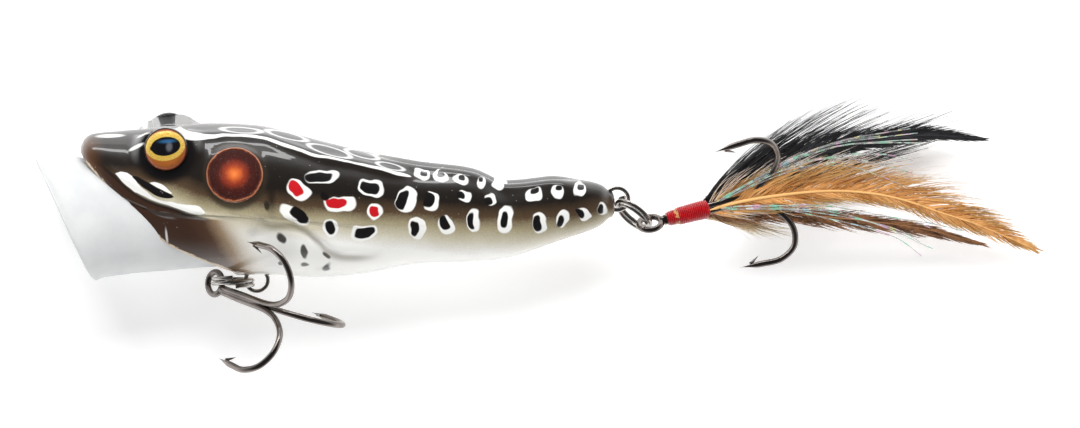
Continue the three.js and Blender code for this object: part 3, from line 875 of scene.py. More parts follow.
class POPPER_OT_ears(bpy.types.Operator):
    """Make the two raised round ears with their painted glow."""

    bl_idname = "popper.ears"
    bl_label = "Ears"

    def execute(self, context):
        f = Finish("ear_glow")
        spot = f.attribute("disc", out="Vector")
        x, y, _ = f.split(spot)
        radius = (x * x + y * y) ** 0.5
        cloud = f.noise(spot, 1.6, 3)
        way = radius / EAR_RADIUS + (cloud - 0.5) * 0.12
        colour = f.ramp(way, [
            (0.0, (0.82, 0.24, 0.05)), (0.14, (0.66, 0.13, 0.02)), (0.34, (0.28, 0.03, 0.008)),
            (0.58, (0.055, 0.008, 0.005)), (0.86, (0.035, 0.007, 0.005)),
            (0.93, (0.10, 0.02, 0.008)), (0.96, (0.50, 0.17, 0.07)), (1.0, (0.10, 0.03, 0.015)),
        ])
        fleck = f.noise(spot, 9, 1).ease(0.66, 0.72)
        colour = f.mix(fleck * 0.3, colour, (0.5, 0.42, 0.36))
        finish = f.surface(
            Base_Color=colour, Roughness=0.3, Coat_Weight=1.0, Coat_Roughness=0.03,
            Normal=f.bump(cloud, 0.00003, 0.4),
        )
        r = EAR_RADIUS
        profile = [
            (r * 0.98, -1.2), (r, -0.9), (r, 0.1), (r * 0.985, 0.24), (r * 0.96, 0.31),
            (r * 0.93, 0.32), (r * 0.9, 0.28),
        ]
        profile += [(r * k, 0.26 + 0.3 * (1 - k * k)) for k in (0.85, 0.75, 0.6, 0.45, 0.3, 0.15)]
        for side, word in ((-1, "left"), (1, "right")):
            bm = turned_disc(profile, disc_frame(side, EAR, EAR_FACING))
            piece("ear_" + word, bm, finish, "lure")
        return {"FINISHED"}


DOME_STEPS = 16
IRIS_RISE = 1.25
LENS_RISE = 1.6


def dome(radius, foot, rise):
    """A lathe outline from a dome's foot to just short of its top."""
    turns = [k / DOME_STEPS * math.pi / 2 for k in range(DOME_STEPS)]
    return [(radius * math.cos(turn), foot + rise * math.sin(turn)) for turn in turns]


class POPPER_OT_eyes(bpy.types.Operator):
    """Make the foil irises, their clear lenses and the dark sockets."""

    bl_idname = "popper.eyes"
    bl_label = "Eyes"

    def iris(self):
        f = Finish("eye_iris")
        spot = f.attribute("disc", out="Vector")
        x, y, z = f.split(spot)
        ray = f.node("ShaderNodeMath", {"operation": "ARCTAN2"}, {0: y, 1: x})
        radius = (x * x + y * y) ** 0.5
        spokes = f.node("ShaderNodeCombineXYZ", {}, {0: ray * 4, 1: radius}, plain=True)
        streak = f.noise(spokes, 3, 3)
        flat = f.node("ShaderNodeCombineXYZ", {}, {0: x, 1: y, 2: 1.0}, plain=True)

        def oval(across, up, long, tall, turn):
            return spot_distance(f, flat, [(across, up, long, tall, turn)])

        colour = f.ramp((radius + (streak - 0.5) * 0.5) / EYE_RADIUS, [
            (0.0, (0.55, 0.17, 0.03)), (0.72, (0.50, 0.15, 0.025)), (0.9, (0.33, 0.07, 0.015)),
            (1.0, (0.10, 0.03, 0.012)),
        ])
        gold = oval(-0.05, 0.45, 2.62, 1.98, 6)
        yellow = f.mix(streak.ease(0.3, 0.7), (0.90, 0.66, 0.14), (0.78, 0.45, 0.06))
        colour = f.mix(gold.ease(0.08, -0.05), colour, yellow)
        almond = oval(0.05, 0.38, 1.95, 1.25, 8).least(oval(-0.95, 0.3, 1.1, 0.55, 14))
        colour = f.mix(almond.ease(0.05, -0.03), colour, (0.004, 0.004, 0.006))
        # Painted reflections: a blue highlight across the top of the pupil and a grey window
        # reflection to its lower right.
        shine = oval(0.3, 1.05, 1.15, 0.26, 4)
        colour = f.mix(shine.ease(0.12, -0.2) * 0.85, colour, (0.03, 0.16, 0.36))
        window_reflection = oval(0.55, 0.3, 0.5, 0.72, -6)
        colour = f.mix(window_reflection.ease(0.1, -0.3) * 0.45, colour, (0.30, 0.31, 0.36))
        rim = z.ease(0.42, 0.3)
        colour = f.mix(rim, colour, BLACK)
        return f.surface(
            Base_Color=colour, Metallic=0.2, Roughness=0.3, Coat_Weight=0.6, Coat_Roughness=0.05,
            Normal=f.bump(streak, 0.00004, 0.5),
        )

    def lens(self):
        f = Finish("eye_lens")
        spot = f.attribute("disc", out="Vector")
        level = f.split(spot)[2]
        haze = f.noise(f.here(), 700, 2)
        rim = level.ease(0.78, 0.6)
        return f.surface(
            Base_Color=f.mix(rim, (0.03, 0.03, 0.035), BLACK), Roughness=0.03 + haze * 0.03,
            Alpha=rim.most(0.04 + haze * 0.03), Coat_Weight=1.0, Coat_Roughness=0.02,
        )

    def execute(self, context):
        iris, lens = self.iris(), self.lens()
        r = EYE_RADIUS
        for side, word in ((-1, "left"), (1, "right")):
            place = disc_frame(side, EYE, EYE_FACING)
            bowl = [(r * 0.98, -0.5), (r * 0.985, 0.0), (r * 0.97, 0.25)]
            bm = turned_disc(bowl + dome(r * 0.95, 0.35, IRIS_RISE), place)
            piece("eye_iris_" + word, bm, iris, "lure", ("eye_foil_" + word,))
            bm = turned_disc([(r, -0.2)] + dome(r, 0.3, LENS_RISE), place)
            piece("eye_dome_" + word, bm, lens, "lure", ("eye_lens_" + word,))
        return {"FINISHED"}


# ---------- mouth cup ----------
# Rings from the mouth to the rim: centre x, centre z, slope, half length, half width.
CUP_RINGS = [
    [11.2, -0.9, -36, 10.6, 6.4], [9.2, -0.85, -37, 12, 7.7], [6.4, -0.95, -42, 11.2, 8.1],
    [2.2, -1.25, -53, 9.7, 8.7], [-0.9, -1.45, -62, 9.2, 9.8], [-2.1, -1.5, -65, 9.4, 10.9],
]


class POPPER_OT_cup(bpy.types.Operator):
    """Make the soft flared cup in the mouth."""

    bl_idname = "popper.cup"
    bl_label = "Mouth cup"

    def execute(self, context):
        f = Finish("soft_silicone")
        at = f.here()
        cloud = f.noise(at, 240, 3)
        grain = f.noise(at, 3200, 2)
        finish = f.surface(
            Base_Color=f.mix(cloud.ease(0.3, 0.7), (0.63, 0.645, 0.65), (0.70, 0.71, 0.71)),
            Roughness=0.5 + grain * 0.12,
            Subsurface_Weight=0.25,
            Subsurface_Radius=(0.004, 0.004, 0.004),
            Subsurface_Scale=1.0,
            Normal=f.bump(grain, 0.00003, 0.35),
        )
        skin_rows = [(k / 30, 0.0) for k in range(31)]
        rim_rows = [(1.006, 0.12), (1.01, 0.42), (1.006, 0.7)]
        bowl_rows = [(1 - k / 26 * 0.82, 0.85 + 0.35 * k / 26) for k in range(27)]
        rows = skin_rows + rim_rows + bowl_rows

        def place(share, angle, reach):
            t, inset = rows[round(share * (len(rows) - 1))]
            x, z, slope, long, half = spline(CUP_RINGS, min(t, 1))
            slope = math.radians(slope)
            long = (long - inset) * math.cos(angle) * reach
            beyond = (t - 1) * 25 if t > 1 else 0
            set_back = 0.85 * math.sin(angle) ** 2 * smooth(t, 0.35, 1)
            wave = 0.12 * math.sin(3 * angle + 0.6) * smooth(t, 0.6, 1)
            return lure_point(
                x + long * math.cos(slope) + (set_back + wave) * reach - beyond,
                -(half - inset) * math.sin(angle) * reach,
                z + long * math.sin(slope) - beyond * 0.5,
            )

        bm = shaped(len(rows) - 1, 112, place)
        piece("soft_cup", bm, finish, "lure", ("mouth_cup",))
        return {"FINISHED"}


# ---------- tackle ----------
# Each hanger: centre of its eye, centre of its inner ring, in the lure's frame.
LINE_TIE = ((-0.95, 0, -1.1), (17.2, 0, -1.1))
BELLY_EYE = ((23.3, 0, -10.15), (23.3, 0, -4.2))
TAIL_EYE = ((71.4, 0, 0.8), (65.6, 0, 0.3))
EYE_RING = 1.5
INNER_RING = 1.3
RING_RADIUS = 2.65
RING_PITCH = 0.6
RING_STEPS = 190
RING_HALF_TURNS = 3.96
HOOK_EYE = 1.5
# Each split ring in the lure's frame: centre, way of its axis, where its wire starts.
RINGS = {
    "belly": ((20.18, -0.39, -10.29), (-0.033, 0.141, 0.99), (0.136, -0.98, 0.144)),
    "tail": ((73.56, -0.25, -1.2), (0.578, 0.468, 0.668), (-0.518, -0.422, 0.744)),
}
# Each treble: its eye's place in the lure's frame, then over the ground the loop's shift from
# there, the loop's normal, the way of the shank, and the first hook's way out.
TREBLES = {
    "belly": (
        (17.74, 0.07, -11.14), (0, 0.55, 0), (0.758, -0.063, -0.649),
        (0.623, -0.224, 0.749), (-0.165, 0.899, 0.406),
    ),
    "tail": (
        (75.78, -1.36, -2.26), (0, 0, 0), (0.1, -0.81, -0.577),
        (0.953, 0.245, -0.179), (-0.078, 0.769, 0.635),
    ),
}
HOOK_LINE = [
    (1.9, 0.3), (6, 0.42), (11.4, 0.5), (14.6, 1.3), (17.2, 3.1), (18.3, 5.7), (17.6, 8.2),
    (15.4, 9.5), (12.9, 9.5),
]
HOOK_POINT = (9.7, 9.2)
SHANK_END = 10.6
BARB_RADIUS = 0.26
# The shank of a hanger: length of half a twist, and each strand's place and thickness in wires.
TWIST = 2.2
STRAND_OFF = 0.55
STRAND_THICK = 0.82


def wire_finish():
    return metal("stainless_wire", settings("tackle").steel, 0.1)


class POPPER_OT_wires(bpy.types.Operator):
    """Make the three wire hangers, each an eye on a twisted shank."""

    bl_idname = "popper.wires"
    bl_label = "Wire eyes"

    def execute(self, context):
        finish = wire_finish()
        wire = settings("tackle").wire
        across = (TURN @ Vector((0, 1, 0))).normalized()
        for name, (outer, inner) in (
            ("line_tie", LINE_TIE), ("belly_hanger", BELLY_EYE), ("tail_hanger", TAIL_EYE),
        ):
            eye, end = lure_point(*outer), lure_point(*inner)
            along = (end - eye).normalized()
            beside = along.cross(across)
            start, stop = eye + along * EYE_RING, end - along * INNER_RING
            length = (stop - start).length
            parts = [
                loop_mesh(eye, across, EYE_RING, wire), loop_mesh(end, across, INNER_RING, wire),
            ]
            steps = max(24, int(length * 6))
            for half in (0, math.pi):
                path = []
                for k in range(steps + 1):
                    turn = half + k / steps * length / TWIST * math.pi
                    off = across * math.cos(turn) + beside * math.sin(turn)
                    path.append(start + along * (length * k / steps) + off * wire * STRAND_OFF)
                parts.append(wire_mesh(path, wire * STRAND_THICK, 10))
            piece(name + "_eye", joined(parts), finish, "lure", (name + "_wire",))
        return {"FINISHED"}


class POPPER_OT_rings(bpy.types.Operator):
    """Make the two split rings, each two turns of wire."""

    bl_idname = "popper.rings"
    bl_label = "Split rings"

    def execute(self, context):
        finish = wire_finish()
        wire = settings("tackle").wire
        for word, (centre, normal, start) in RINGS.items():
            normal, start = Vector(normal).normalized(), Vector(start).normalized()
            second = normal.cross(start)
            path = []
            for k in range(RING_STEPS + 1):
                t = k / RING_STEPS
                angle = t * math.pi * RING_HALF_TURNS
                rise = (t - 0.5) * RING_PITCH * 2
                p = Vector(centre) + start * (RING_RADIUS * math.cos(angle))
                p += second * (RING_RADIUS * math.sin(angle))
                path.append(LURE @ (p + normal * rise))
            bm = wire_mesh(path, wire, 12)
            replaced = (word + "_split_ring",)
            piece(word + "_ring_wire", bm, finish, word + "_ring", replaced)
        return {"FINISHED"}


def treble_frame(word):
    """A treble's eye, loop shift, loop normal, shank and first hook's way out, over the ground."""
    eye, off, normal, shank, out = (Vector(v) for v in TREBLES[word])
    shank.normalize()
    normal, out = ((d - shank * d.dot(shank)).normalized() for d in (normal, out))
    return LURE @ eye, off, normal, shank, out


class POPPER_OT_trebles(bpy.types.Operator):
    """Make the two treble hooks, with tapered points and barbs."""

    bl_idname = "popper.trebles"
    bl_label = "Treble hooks"

    def execute(self, context):
        own = settings("tackle")
        finish = metal("black_nickel", own.nickel, 0.09, 0.35)
        wire = own.hook_wire
        for word in TREBLES:
            eye, off, normal, shank, first = treble_frame(word)
            parts = [loop_mesh(eye + off, normal, HOOK_EYE, wire)]
            for k in range(3):
                out = Matrix.Rotation(k * TAU / 3, 3, shank) @ first
                steps = 90
                line = HOOK_LINE + [(11.3, 9.38), HOOK_POINT]
                places = [spline(line, i / steps) for i in range(steps + 1)]
                path = [eye + shank * a + out * b for a, b in places]
                parts.append(
                    wire_mesh(path, lambda s: wire * (1 - smooth(s, 0.82, 1.0) * 0.95), 14)
                )
                root = eye + shank * (HOOK_POINT[0] + 1.5) + out * (HOOK_POINT[1] - 0.1)
                tip = eye + shank * (HOOK_POINT[0] + 2.9) + out * (HOOK_POINT[1] - 0.95)
                barb = [root.lerp(tip, i / 8) for i in range(9)]
                parts.append(wire_mesh(barb, lambda s: BARB_RADIUS * (1 - s) + 0.02, 8))
            reach = SHANK_END - HOOK_EYE
            rod = [eye + shank * (HOOK_EYE * 0.9 + reach * i / 20) for i in range(21)]
            parts.append(wire_mesh(rod, lambda s: wire * (1.35 - 0.3 * smooth(s, 0.75, 1)), 14))
            name, replaced = word + "_treble", (word + "_treble_hook",)
            piece(name, joined(parts), finish, name, replaced)
        return {"FINISHED"}


# Outline of the thread: distance along the shank, radius.
WRAP_LINE = [
    (2.3, 0.7), (2.35, 0.85), (2.7, 1.0), (3.6, 1.05), (4.0, 1.2), (7.5, 1.3), (8.0, 1.15),
    (8.2, 0.8),
]
WRAP_ROWS = 260
WRAP_TURNS = 23


class POPPER_OT_wrap(bpy.types.Operator):
    """Make the varnished red thread bound over the roots of the dressing."""

    bl_idname = "popper.wrap"
    bl_label = "Thread"

    def execute(self, context):
        eye, _, _, shank, first = treble_frame("tail")
        second = shank.cross(first)
        f = Finish("bound_thread")
        at = f.here()
        strand = f.attribute("turn")
        groove = f.attribute("groove")
        fuzz = f.noise(at, 2600, 3)
        own = settings("tackle").thread
        # Painted shade: the thread is darker down in the grooves between its turns.
        colour = f.mix(groove, (0.16, 0.002, 0.004), own)
        colour = f.mix(fuzz.ease(0.55, 0.75) * 0.4, colour, (0.75, 0.06, 0.05))
        # Painted highlight: a gold glint round the varnished head of the thread.
        gold = strand.ease(0.28, 0.24) * strand.ease(0.16, 0.2) * fuzz.ease(0.42, 0.5)
        colour = f.mix(gold * 0.7, colour, (0.7, 0.5, 0.2))
        finish = f.surface(
            Base_Color=colour, Roughness=0.4, Coat_Weight=0.5, Coat_Roughness=0.15,
            Normal=f.bump(fuzz, 0.00002, 0.5),
        )
        low, length = WRAP_LINE[0][0], WRAP_LINE[-1][0] - WRAP_LINE[0][0]

        def ridge(share, angle):
            return (0.5 + 0.5 * math.cos(TAU * WRAP_TURNS * share + angle)) ** 0.6

        def place(share, angle, reach):
            along = low + length * share
            r = (table(WRAP_LINE, along)[0] - 0.11 + 0.13 * ridge(share, angle)) * reach
            out = first * (r * math.cos(angle))
            return eye + shank * along + out + second * (r * math.sin(angle))

        bm = shaped(WRAP_ROWS, 28, place)
        turn, groove_layer = bm.verts.layers.float.new("turn"), bm.verts.layers.float.new("groove")
        for v in bm.verts:
            away = v.co - eye
            share = (away.dot(shank) - low) / length
            angle = math.atan2(away.dot(second), away.dot(first))
            v[turn] = share
            v[groove_layer] = ridge(share, angle)
        piece("red_thread", bm, finish, "tail_treble", ("thread_wrap",))
        return {"FINISHED"}


# ---------- dressing ----------
# Where the dressing is tied on, over the ground, how far back it reaches, and how low its end lies.
TIE = Vector((21.9, 3.1, 10.9))
DRESSING_LENGTH = 46
LOW_END = 2.2


def dressed(x, y, level):
    """A point of the dressing over the ground at x, y, at its layer's height."""
    along = clamp((x - TIE.x) / DRESSING_LENGTH)
    spread = (0.12 + 0.88 * smooth(along, 0, 0.3)) * (1 - 0.55 * along)
    return Vector((x, y, TIE.z - (TIE.z - LOW_END) * along + level * spread))


def fibre_finish(name, dark, light, glint=0.0, rough=0.55, sheen=0.2):
    """Fibre that changes shade from one hair to the next and along each."""
    f = Finish(name)
    tone, way = f.attribute("tone"), f.attribute("way")
    at = f.here()
    speck = f.noise(at, 700, 2)
    colour = f.mix(tone, dark, light)
    colour = f.mix(speck.ease(0.55, 0.75) * 0.35, colour, tuple(c * 0.45 for c in dark))
    colour = f.mix(way.ease(0.3, 1.0) * glint, colour, tuple(min(1, c * 1.6 + 0.03) for c in light))
    return f.surface(
        Base_Color=colour, Roughness=rough, Sheen_Weight=sheen, Sheen_Roughness=0.4,
        Normal=f.bump(speck, 0.00002, 0.3),
    )


def bend(start, control, end, level, lift=0.0):
    """A curved path over the ground from start to end by way of control."""
    def at(s):
        x = (1 - s) ** 2 * start[0] + 2 * s * (1 - s) * control[0] + s * s * end[0]
        y = (1 - s) ** 2 * start[1] + 2 * s * (1 - s) * control[1] + s * s * end[1]
        p = dressed(x, y, level)
        p.z += lift * math.sin(math.pi * s)
        return p
    return at


# Tips of the hair, from the short upper edge round to the lower edge.
HAIR_TIPS = [
    (30.5, 12.2), (34, 14.8), (39, 17.2), (43.8, 18.8), (46.5, 16.6), (50, 15.0), (54.6, 16.2),
    (57, 13.6), (52, 11.2), (45, 9.8),
]


class POPPER_OT_hair(bpy.types.Operator):
    """Make the black hair of the dressing."""

    bl_idname = "popper.hair"
    bl_label = "Hair"

    def execute(self, context):
        own = settings("dressing")
        chance = random.Random(11)
        finish = fibre_finish("black_hair", tuple(own.black), (0.05, 0.05, 0.055), 0.15, 0.35)
        paths, draws = [], []
        for _ in range(own.hairs):
            share = chance.random() ** 0.9
            tip = spline(HAIR_TIPS, share)
            reach = 0.62 + 0.38 * chance.random() ** 0.6
            tip = (
                TIE.x + (tip[0] - TIE.x) * reach + chance.gauss(0, 0.5),
                TIE.y + (tip[1] - TIE.y) * reach + chance.gauss(0, 0.45),
            )
            start = (TIE.x + chance.uniform(-0.6, 0.4), TIE.y + chance.uniform(-0.9, 0.9))
            steep = 0.62 - 0.2 * share
            control = (
                start[0] + (tip[0] - start[0]) * 0.42 + chance.gauss(0, 0.5),
                start[1] + (tip[1] - start[1]) * steep + chance.gauss(0, 0.5),
            )
            level = -2.4 + chance.uniform(-0.5, 0.9)
            paths.append(bend(start, control, tip, level, chance.uniform(-0.2, 0.5)))
            draws.append(chance.random() ** 3)
        bm = strands(paths, 0.1, 0.07, rows=9, sides=3, tips=0.18, draws=draws)
        piece("hair", bm, finish, "tail_treble", ("black_hair",))
        return {"FINISHED"}


FIRST_BARB = 0.02


def feather(
    name, rachis, level, barbs, lengths, lean, finish, chance, width, quill, replaces=()
):
    """A quill with barbs to both sides.

    lengths has a row for each place along the quill: share of the way, upper and lower barb
    length in millimetres, and how far the barbs stand open.
    """
    steps = 60
    spine = [dressed(*spline(rachis, k / steps), level) for k in range(steps + 1)]
    paths, draws = [], []
    for side in (1, -1):
        for k in range(barbs):
            share = FIRST_BARB + (1 - FIRST_BARB) * (k + chance.random()) / barbs
            share = min(share, 0.995)
            place = share * steps
            i = min(int(place), steps - 1)
            root = spine[i].lerp(spine[i + 1], place - i)
            along = (spine[i + 1] - spine[i]).normalized()
            across = Vector((-along.y, along.x, 0)).normalized() * side
            upper, lower, spread = table(lengths, share)
            length = (upper if side > 0 else lower) * (0.7 + 0.45 * chance.random())
            open_by = math.radians(lean + chance.gauss(0, 5)) * spread
            droop = chance.uniform(-0.5, 0.6) * length * 0.12

            def at(
                s, root=root, along=along, across=across, length=length, open_by=open_by,
                droop=droop,
            ):
                turn = open_by * (1.35 - 0.55 * s)
                p = root + along * (length * s * math.cos(turn))
                return p + across * (length * s * math.sin(turn)) + Vector((0, 0, droop * s * s))

            paths.append(at)
            stripe = 0.5 * math.sin(share * 40 + side) * 0.5
            draws.append(clamp(0.5 + stripe + chance.gauss(0, 0.22)))
    hairs = strands(paths, width, width * 0.35, rows=5, sides=3, tips=0.2, draws=draws)
    shaft = wire_mesh(spine, lambda s: quill * (1 - 0.8 * s), 8)
    tone, way = shaft.verts.layers.float.new("tone"), shaft.verts.layers.float.new("way")
    for v in shaft.verts:
        v[tone], v[way] = 1.0, 0.6
        v.co.z += 0.06
    return piece(name, joined([hairs, shaft]), finish, "tail_treble", replaces)


TAN_QUILL = [
    (21.6, 2.6), (26.5, 3.97), (33.3, 5.04), (40.1, 5.44), (46.9, 4.64), (53.7, 2.5),
    (59.2, 0.64), (66.0, -2.3),
]
BLACK_QUILL = [(21.6, 3.2), (29.2, 8.0), (37.2, 10.9), (45.2, 12.2), (51.9, 12.9), (59.2, 12.4)]
BROWN_QUILL = [(21.6, 2.4), (32, 2.4), (42, 1.6), (51, 0.4), (59, -1.6)]
UNDER_HAIRS = 70


class POPPER_OT_feathers(bpy.types.Operator):
    """Make the tan hackle, the black feather and the brown one under it."""

    bl_idname = "popper.feathers"
    bl_label = "Feathers"

    def execute(self, context):
        own = settings("dressing")
        chance = random.Random(23)
        dark = tuple(c * 0.6 for c in own.tan)
        finish = fibre_finish("tan_barbs", dark, (0.92, 0.50, 0.19), 0.3, 0.6, 0.1)
        feather(
            "tan_hackle", TAN_QUILL, 2.5, own.barbs,
            [
                (0, 6.0, 5.2, 0.9), (0.15, 8.5, 6.2, 0.85), (0.4, 9.5, 5.0, 0.75),
                (0.7, 7.5, 4.4, 0.7), (0.9, 4.5, 3.4, 0.6), (1, 1.8, 1.6, 0.3),
            ],
            30, finish, chance, 0.12, 0.26, ("tan_feather",),
        )
        finish = fibre_finish("pale_barbs", (0.60, 0.30, 0.12), (0.92, 0.78, 0.62), 0.5, 0.6, 0.1)
        feather(
            "pale_hackle", [(x, y + 0.25) for x, y in TAN_QUILL[:-1]], 2.1, own.barbs * 2 // 3,
            [(0, 5.0, 4.5, 1.2), (0.3, 9.0, 5.5, 1.0), (0.7, 9.5, 4.0, 0.85), (1, 3.0, 2.0, 0.5)],
            34, finish, chance, 0.09, 0.1,
        )
        finish = fibre_finish("black_barbs", tuple(own.black), (0.035, 0.035, 0.04), 0.1, 0.4)
        feather(
            "black_plume", BLACK_QUILL, -1.4, own.barbs,
            [
                (0, 3.5, 3.0, 1.0), (0.3, 6.5, 5.0, 0.9), (0.6, 5.5, 4.6, 0.55),
                (0.85, 3.4, 3.2, 0.45), (1, 1.2, 1.2, 0.2),
            ],
            26, finish, chance, 0.13, 0.2, ("black_feather",),
        )
        finish = fibre_finish("brown_barbs", (0.035, 0.016, 0.009), (0.40, 0.19, 0.085), 0.2, 0.55)
        feather(
            "brown_hackle", BROWN_QUILL, 1.3, own.barbs,
            [(0, 2.5, 3.4, 1.0), (0.3, 4.0, 5.0, 0.8), (0.7, 3.0, 4.6, 0.55), (1, 1.0, 1.4, 0.3)],
            24, finish, chance, 0.12, 0.14, ("brown_feather",),
        )
        finish = fibre_finish("under_fibre", (0.55, 0.30, 0.12), (0.88, 0.68, 0.44), 0.4, 0.6, 0.1)
        paths, draws = [], []
        for _ in range(UNDER_HAIRS):
            start = (TIE.x + chance.uniform(-0.2, 0.6), TIE.y - 0.8 + chance.gauss(0, 0.25))
            tip = (TIE.x + chance.uniform(6, 12), TIE.y - 2.6 - chance.uniform(0, 1.6))
            control = ((start[0] + tip[0]) / 2, start[1] - 0.9 + chance.gauss(0, 0.3))
            paths.append(bend(start, control, tip, -1.4 + chance.gauss(0, 0.2)))
            draws.append(chance.random())
        bm = strands(paths, 0.08, 0.05, rows=6, sides=3, draws=draws)
        piece("under_hair", bm, finish, "tail_treble", ("under_fibres",))
        return {"FINISHED"}


# Each strip: its points over the ground.
UPPER_TINSEL = [(23, 3.6), (26.5, 5.8), (33.1, 9.4), (40.1, 12.1), (46.1, 13.2), (51.5, 13.7)]
LOWER_TINSEL = [(24, 3.0), (31.5, 3.4), (38.8, 3.2), (46.9, 2.0), (52.1, 1.0), (60.5, -1.4)]


class POPPER_OT_tinsel(bpy.types.Operator):
    """Make the thin twisted strips of iridescent tinsel."""

    bl_idname = "popper.tinsel"
    bl_label = "Tinsel"

    def execute(self, context):
        own = settings("dressing")
        chance = random.Random(37)
        f = Finish("pearl_tinsel")
        at = f.here()
        cells = {"Vector": at, "Scale": 1100}
        cell = f.node("ShaderNodeTexVoronoi", {"feature": "F1"}, cells, out="Color", plain=True)
        hue, lit, _ = f.split(cell)
        colour = f.ramp(hue, [
            (0.0, (0.92, 0.96, 0.94)), (0.3, (0.35, 0.85, 0.60)), (0.5, (0.95, 0.97, 0.93)),
            (0.68, (0.88, 0.50, 0.76)), (0.82, (0.90, 0.88, 0.42)), (1.0, (0.50, 0.78, 0.92)),
        ])
        fleck = lit.ease(0.4, 0.6)
        finish = f.surface(
            Base_Color=f.mix(fleck, (0.55, 0.56, 0.55), colour),
            Metallic=0.35 * fleck,
            Roughness=0.15 + hue * 0.2,
            Alpha=0.3 + fleck * 0.7,
            Coat_Weight=0.6,
            Coat_Roughness=0.05,
        )
        for name, line, replaced, count in (
            ("tinsel_upper", UPPER_TINSEL, "flash_tinsel_upper", own.tinsels),
            ("tinsel_lower", LOWER_TINSEL, "flash_tinsel_lower", own.tinsels // 2),
        ):
            paths = []
            for k in range(count):
                lift = (0.2, -0.5)[k] if k < 2 else chance.uniform(-7.5, 1.2)
                reach = chance.uniform(0.75, 1.0)
                wave, phase = chance.uniform(0.1, 0.3), chance.uniform(0, TAU)
                level = 3.3 + chance.uniform(-0.3, 0.3)

                def at(s, lift=lift, reach=reach, wave=wave, phase=phase, level=level, line=line):
                    x, y = spline(line, s * reach)
                    y = y + lift * s * s + wave * math.sin(9 * s + phase)
                    return dressed(x, y, level + 0.25 * math.sin(14 * s + phase))

                paths.append(at)
            bm = strands(paths, 0.13, 0.03, rows=44, sides=4, tips=0.7)
            piece(name, bm, finish, "tail_treble", (replaced,))
        return {"FINISHED"}


class POPPER_OT_inner(bpy.types.Operator):
    """Give the ballast and the rattle balls their finishes."""

    bl_idname = "popper.inner"
    bl_label = "Ballast and rattles"

    def execute(self, context):
        f = Finish("cast_lead")
        cloud = f.noise(f.here(), 600, 4)
        lead = f.surface(
            Base_Color=f.mix(cloud, (0.10, 0.105, 0.11), (0.24, 0.245, 0.25)), Metallic=0.7,
            Roughness=0.45 + cloud * 0.3, Normal=f.bump(cloud, 0.0001, 0.6),
        )
        ball = metal("ball_steel", (0.6, 0.6, 0.6), 0.12)
        inner = {"belly_ballast": lead, "rattle_ball_front": ball, "rattle_ball_rear": ball}
        for node, finish in inner.items():
            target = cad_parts[node]
            target.data.materials.clear()
            target.data.materials.append(finish)
        return {"FINISHED"}


# Each lamp: place, length, width, share of the key's power, whether it shows in reflections.
LAMPS = {
    "key": ((-0.08, 0.5, 0.6), 0.5, 0.35, 1, False),
    "fill": ((0.1, -0.45, 0.7), 0.4, 0.4, 0.55, False),
    "strip": ((-0.1, 0.5, 0.16), 0.5, 0.06, 0.12, True),
}
# The light all round: height of the sky's direction, colour.
SKY = ((0.04, (1, 1, 1, 1)), (0.5, (0.07, 0.07, 0.075, 1)))
FLOOR_REACH = 6


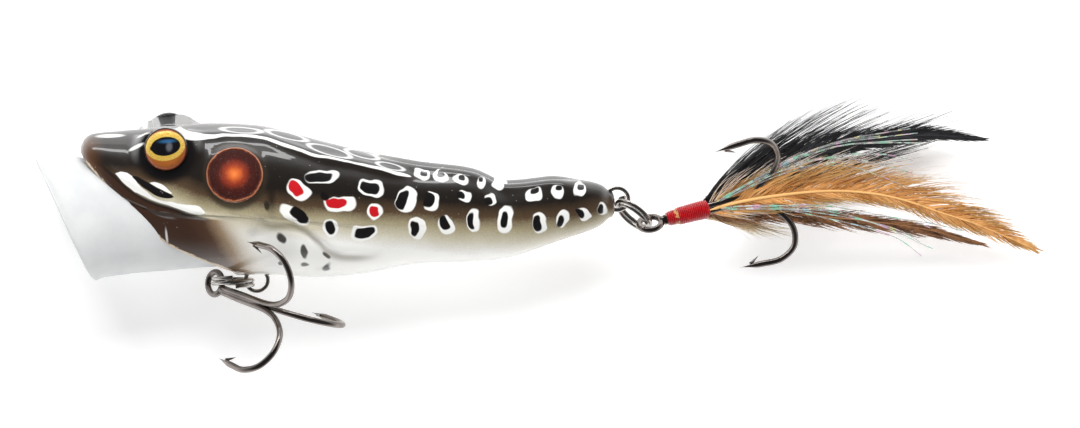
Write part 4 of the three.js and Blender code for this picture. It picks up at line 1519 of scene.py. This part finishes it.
class POPPER_OT_stage(bpy.types.Operator):
    """Set the camera, the soft lights and the pale floor."""

    bl_idname = "popper.stage"
    bl_label = "Stage"

    def execute(self, context):
        own = settings("stage")
        scene = context.scene
        camera = bpy.data.cameras.new("camera")
        camera.lens = own.lens
        camera.sensor_width = 36
        camera.clip_start = 0.01
        eye = bpy.data.objects.new("camera", camera)
        scene.collection.objects.link(eye)
        distance = own.view_width * own.lens / camera.sensor_width
        eye.location = (-0.0001, -0.0012 + CENTRE_Y * MM, AXIS_HEIGHT * MM + distance)
        scene.camera = eye

        for name, (place, long, wide, share, seen) in LAMPS.items():
            self.light(scene, name, place, long, wide, own.key * share, seen)

        world = bpy.data.worlds.new("world")
        world.use_nodes = True
        nodes, links = world.node_tree.nodes, world.node_tree.links
        ground = nodes["Background"]
        ground.inputs["Strength"].default_value = own.sky
        direction = nodes.new("ShaderNodeTexCoord")
        height = nodes.new("ShaderNodeSeparateXYZ")
        fall = nodes.new("ShaderNodeValToRGB")
        for element, (place, shade) in zip(fall.color_ramp.elements, SKY):
            element.position, element.color = place, shade
        links.new(direction.outputs["Generated"], height.inputs[0])
        links.new(height.outputs[2], fall.inputs[0])
        links.new(fall.outputs[0], ground.inputs["Color"])
        scene.world = world
        scene.view_settings.view_transform = "Standard"

        bm = bmesh.new()
        bmesh.ops.create_grid(bm, x_segments=4, y_segments=4, size=FLOOR_REACH)
        data = bpy.data.meshes.new("floor")
        bm.to_mesh(data)
        bm.free()
        floor = bpy.data.objects.new("floor", data)
        scene.collection.objects.link(floor)
        f = Finish("pale_floor")
        grain = f.noise(f.here(), 40, 2)
        data.materials.append(f.surface(
            Base_Color=f.mix(grain, (0.93, 0.93, 0.93), (0.95, 0.95, 0.95)),
            Roughness=0.6,
            Specular_IOR_Level=0.2,
            Emission_Color=(1, 1, 1),
            Emission_Strength=own.glow,
        ))
        return {"FINISHED"}

    def light(self, scene, name, place, long, wide, power, seen):
        lamp = bpy.data.lights.new(name, "AREA")
        lamp.shape = "RECTANGLE"
        lamp.size, lamp.size_y = long, wide
        lamp.energy = power
        made = bpy.data.objects.new(name, lamp)
        made.location = place
        made.visible_glossy = seen
        made.rotation_euler = (-Vector(place)).to_track_quat("-Z", "Y").to_euler()
        scene.collection.objects.link(made)


STEPS = (
    POPPER_OT_stage, POPPER_OT_body, POPPER_OT_ears, POPPER_OT_eyes, POPPER_OT_cup, POPPER_OT_wires,
    POPPER_OT_rings, POPPER_OT_trebles, POPPER_OT_wrap, POPPER_OT_hair, POPPER_OT_feathers,
    POPPER_OT_tinsel, POPPER_OT_inner,
)
GROUPS = {
    "body": PopperBodySettings, "tackle": PopperTackleSettings, "dressing": PopperDressingSettings,
    "stage": PopperStageSettings,
}


class POPPER_PT_panel(bpy.types.Panel):
    """The popper's settings and steps."""

    bl_idname = "POPPER_PT_panel"
    bl_label = "Popper"
    bl_space_type = "VIEW_3D"
    bl_region_type = "UI"
    bl_category = "Popper"

    def draw(self, context):
        for word, group in GROUPS.items():
            box = self.layout.box()
            box.label(text=word.capitalize())
            for key in group.__annotations__:
                box.prop(settings(word), key)
        for step in STEPS:
            self.layout.operator(step.bl_idname)


def register():
    for group in (*GROUPS.values(), *STEPS, POPPER_PT_panel):
        bpy.utils.register_class(group)
    for word, group in GROUPS.items():
        setattr(bpy.types.Scene, "popper_" + word, PointerProperty(type=group))


def unregister():
    for word in GROUPS:
        delattr(bpy.types.Scene, "popper_" + word)
    for group in (POPPER_PT_panel, *reversed(STEPS), *reversed(GROUPS.values())):
        bpy.utils.unregister_class(group)


def main():
    register()
    for step in STEPS:
        family, word = step.bl_idname.split(".")
        getattr(getattr(bpy.ops, family), word)()


if __name__ == "__main__":
    main()
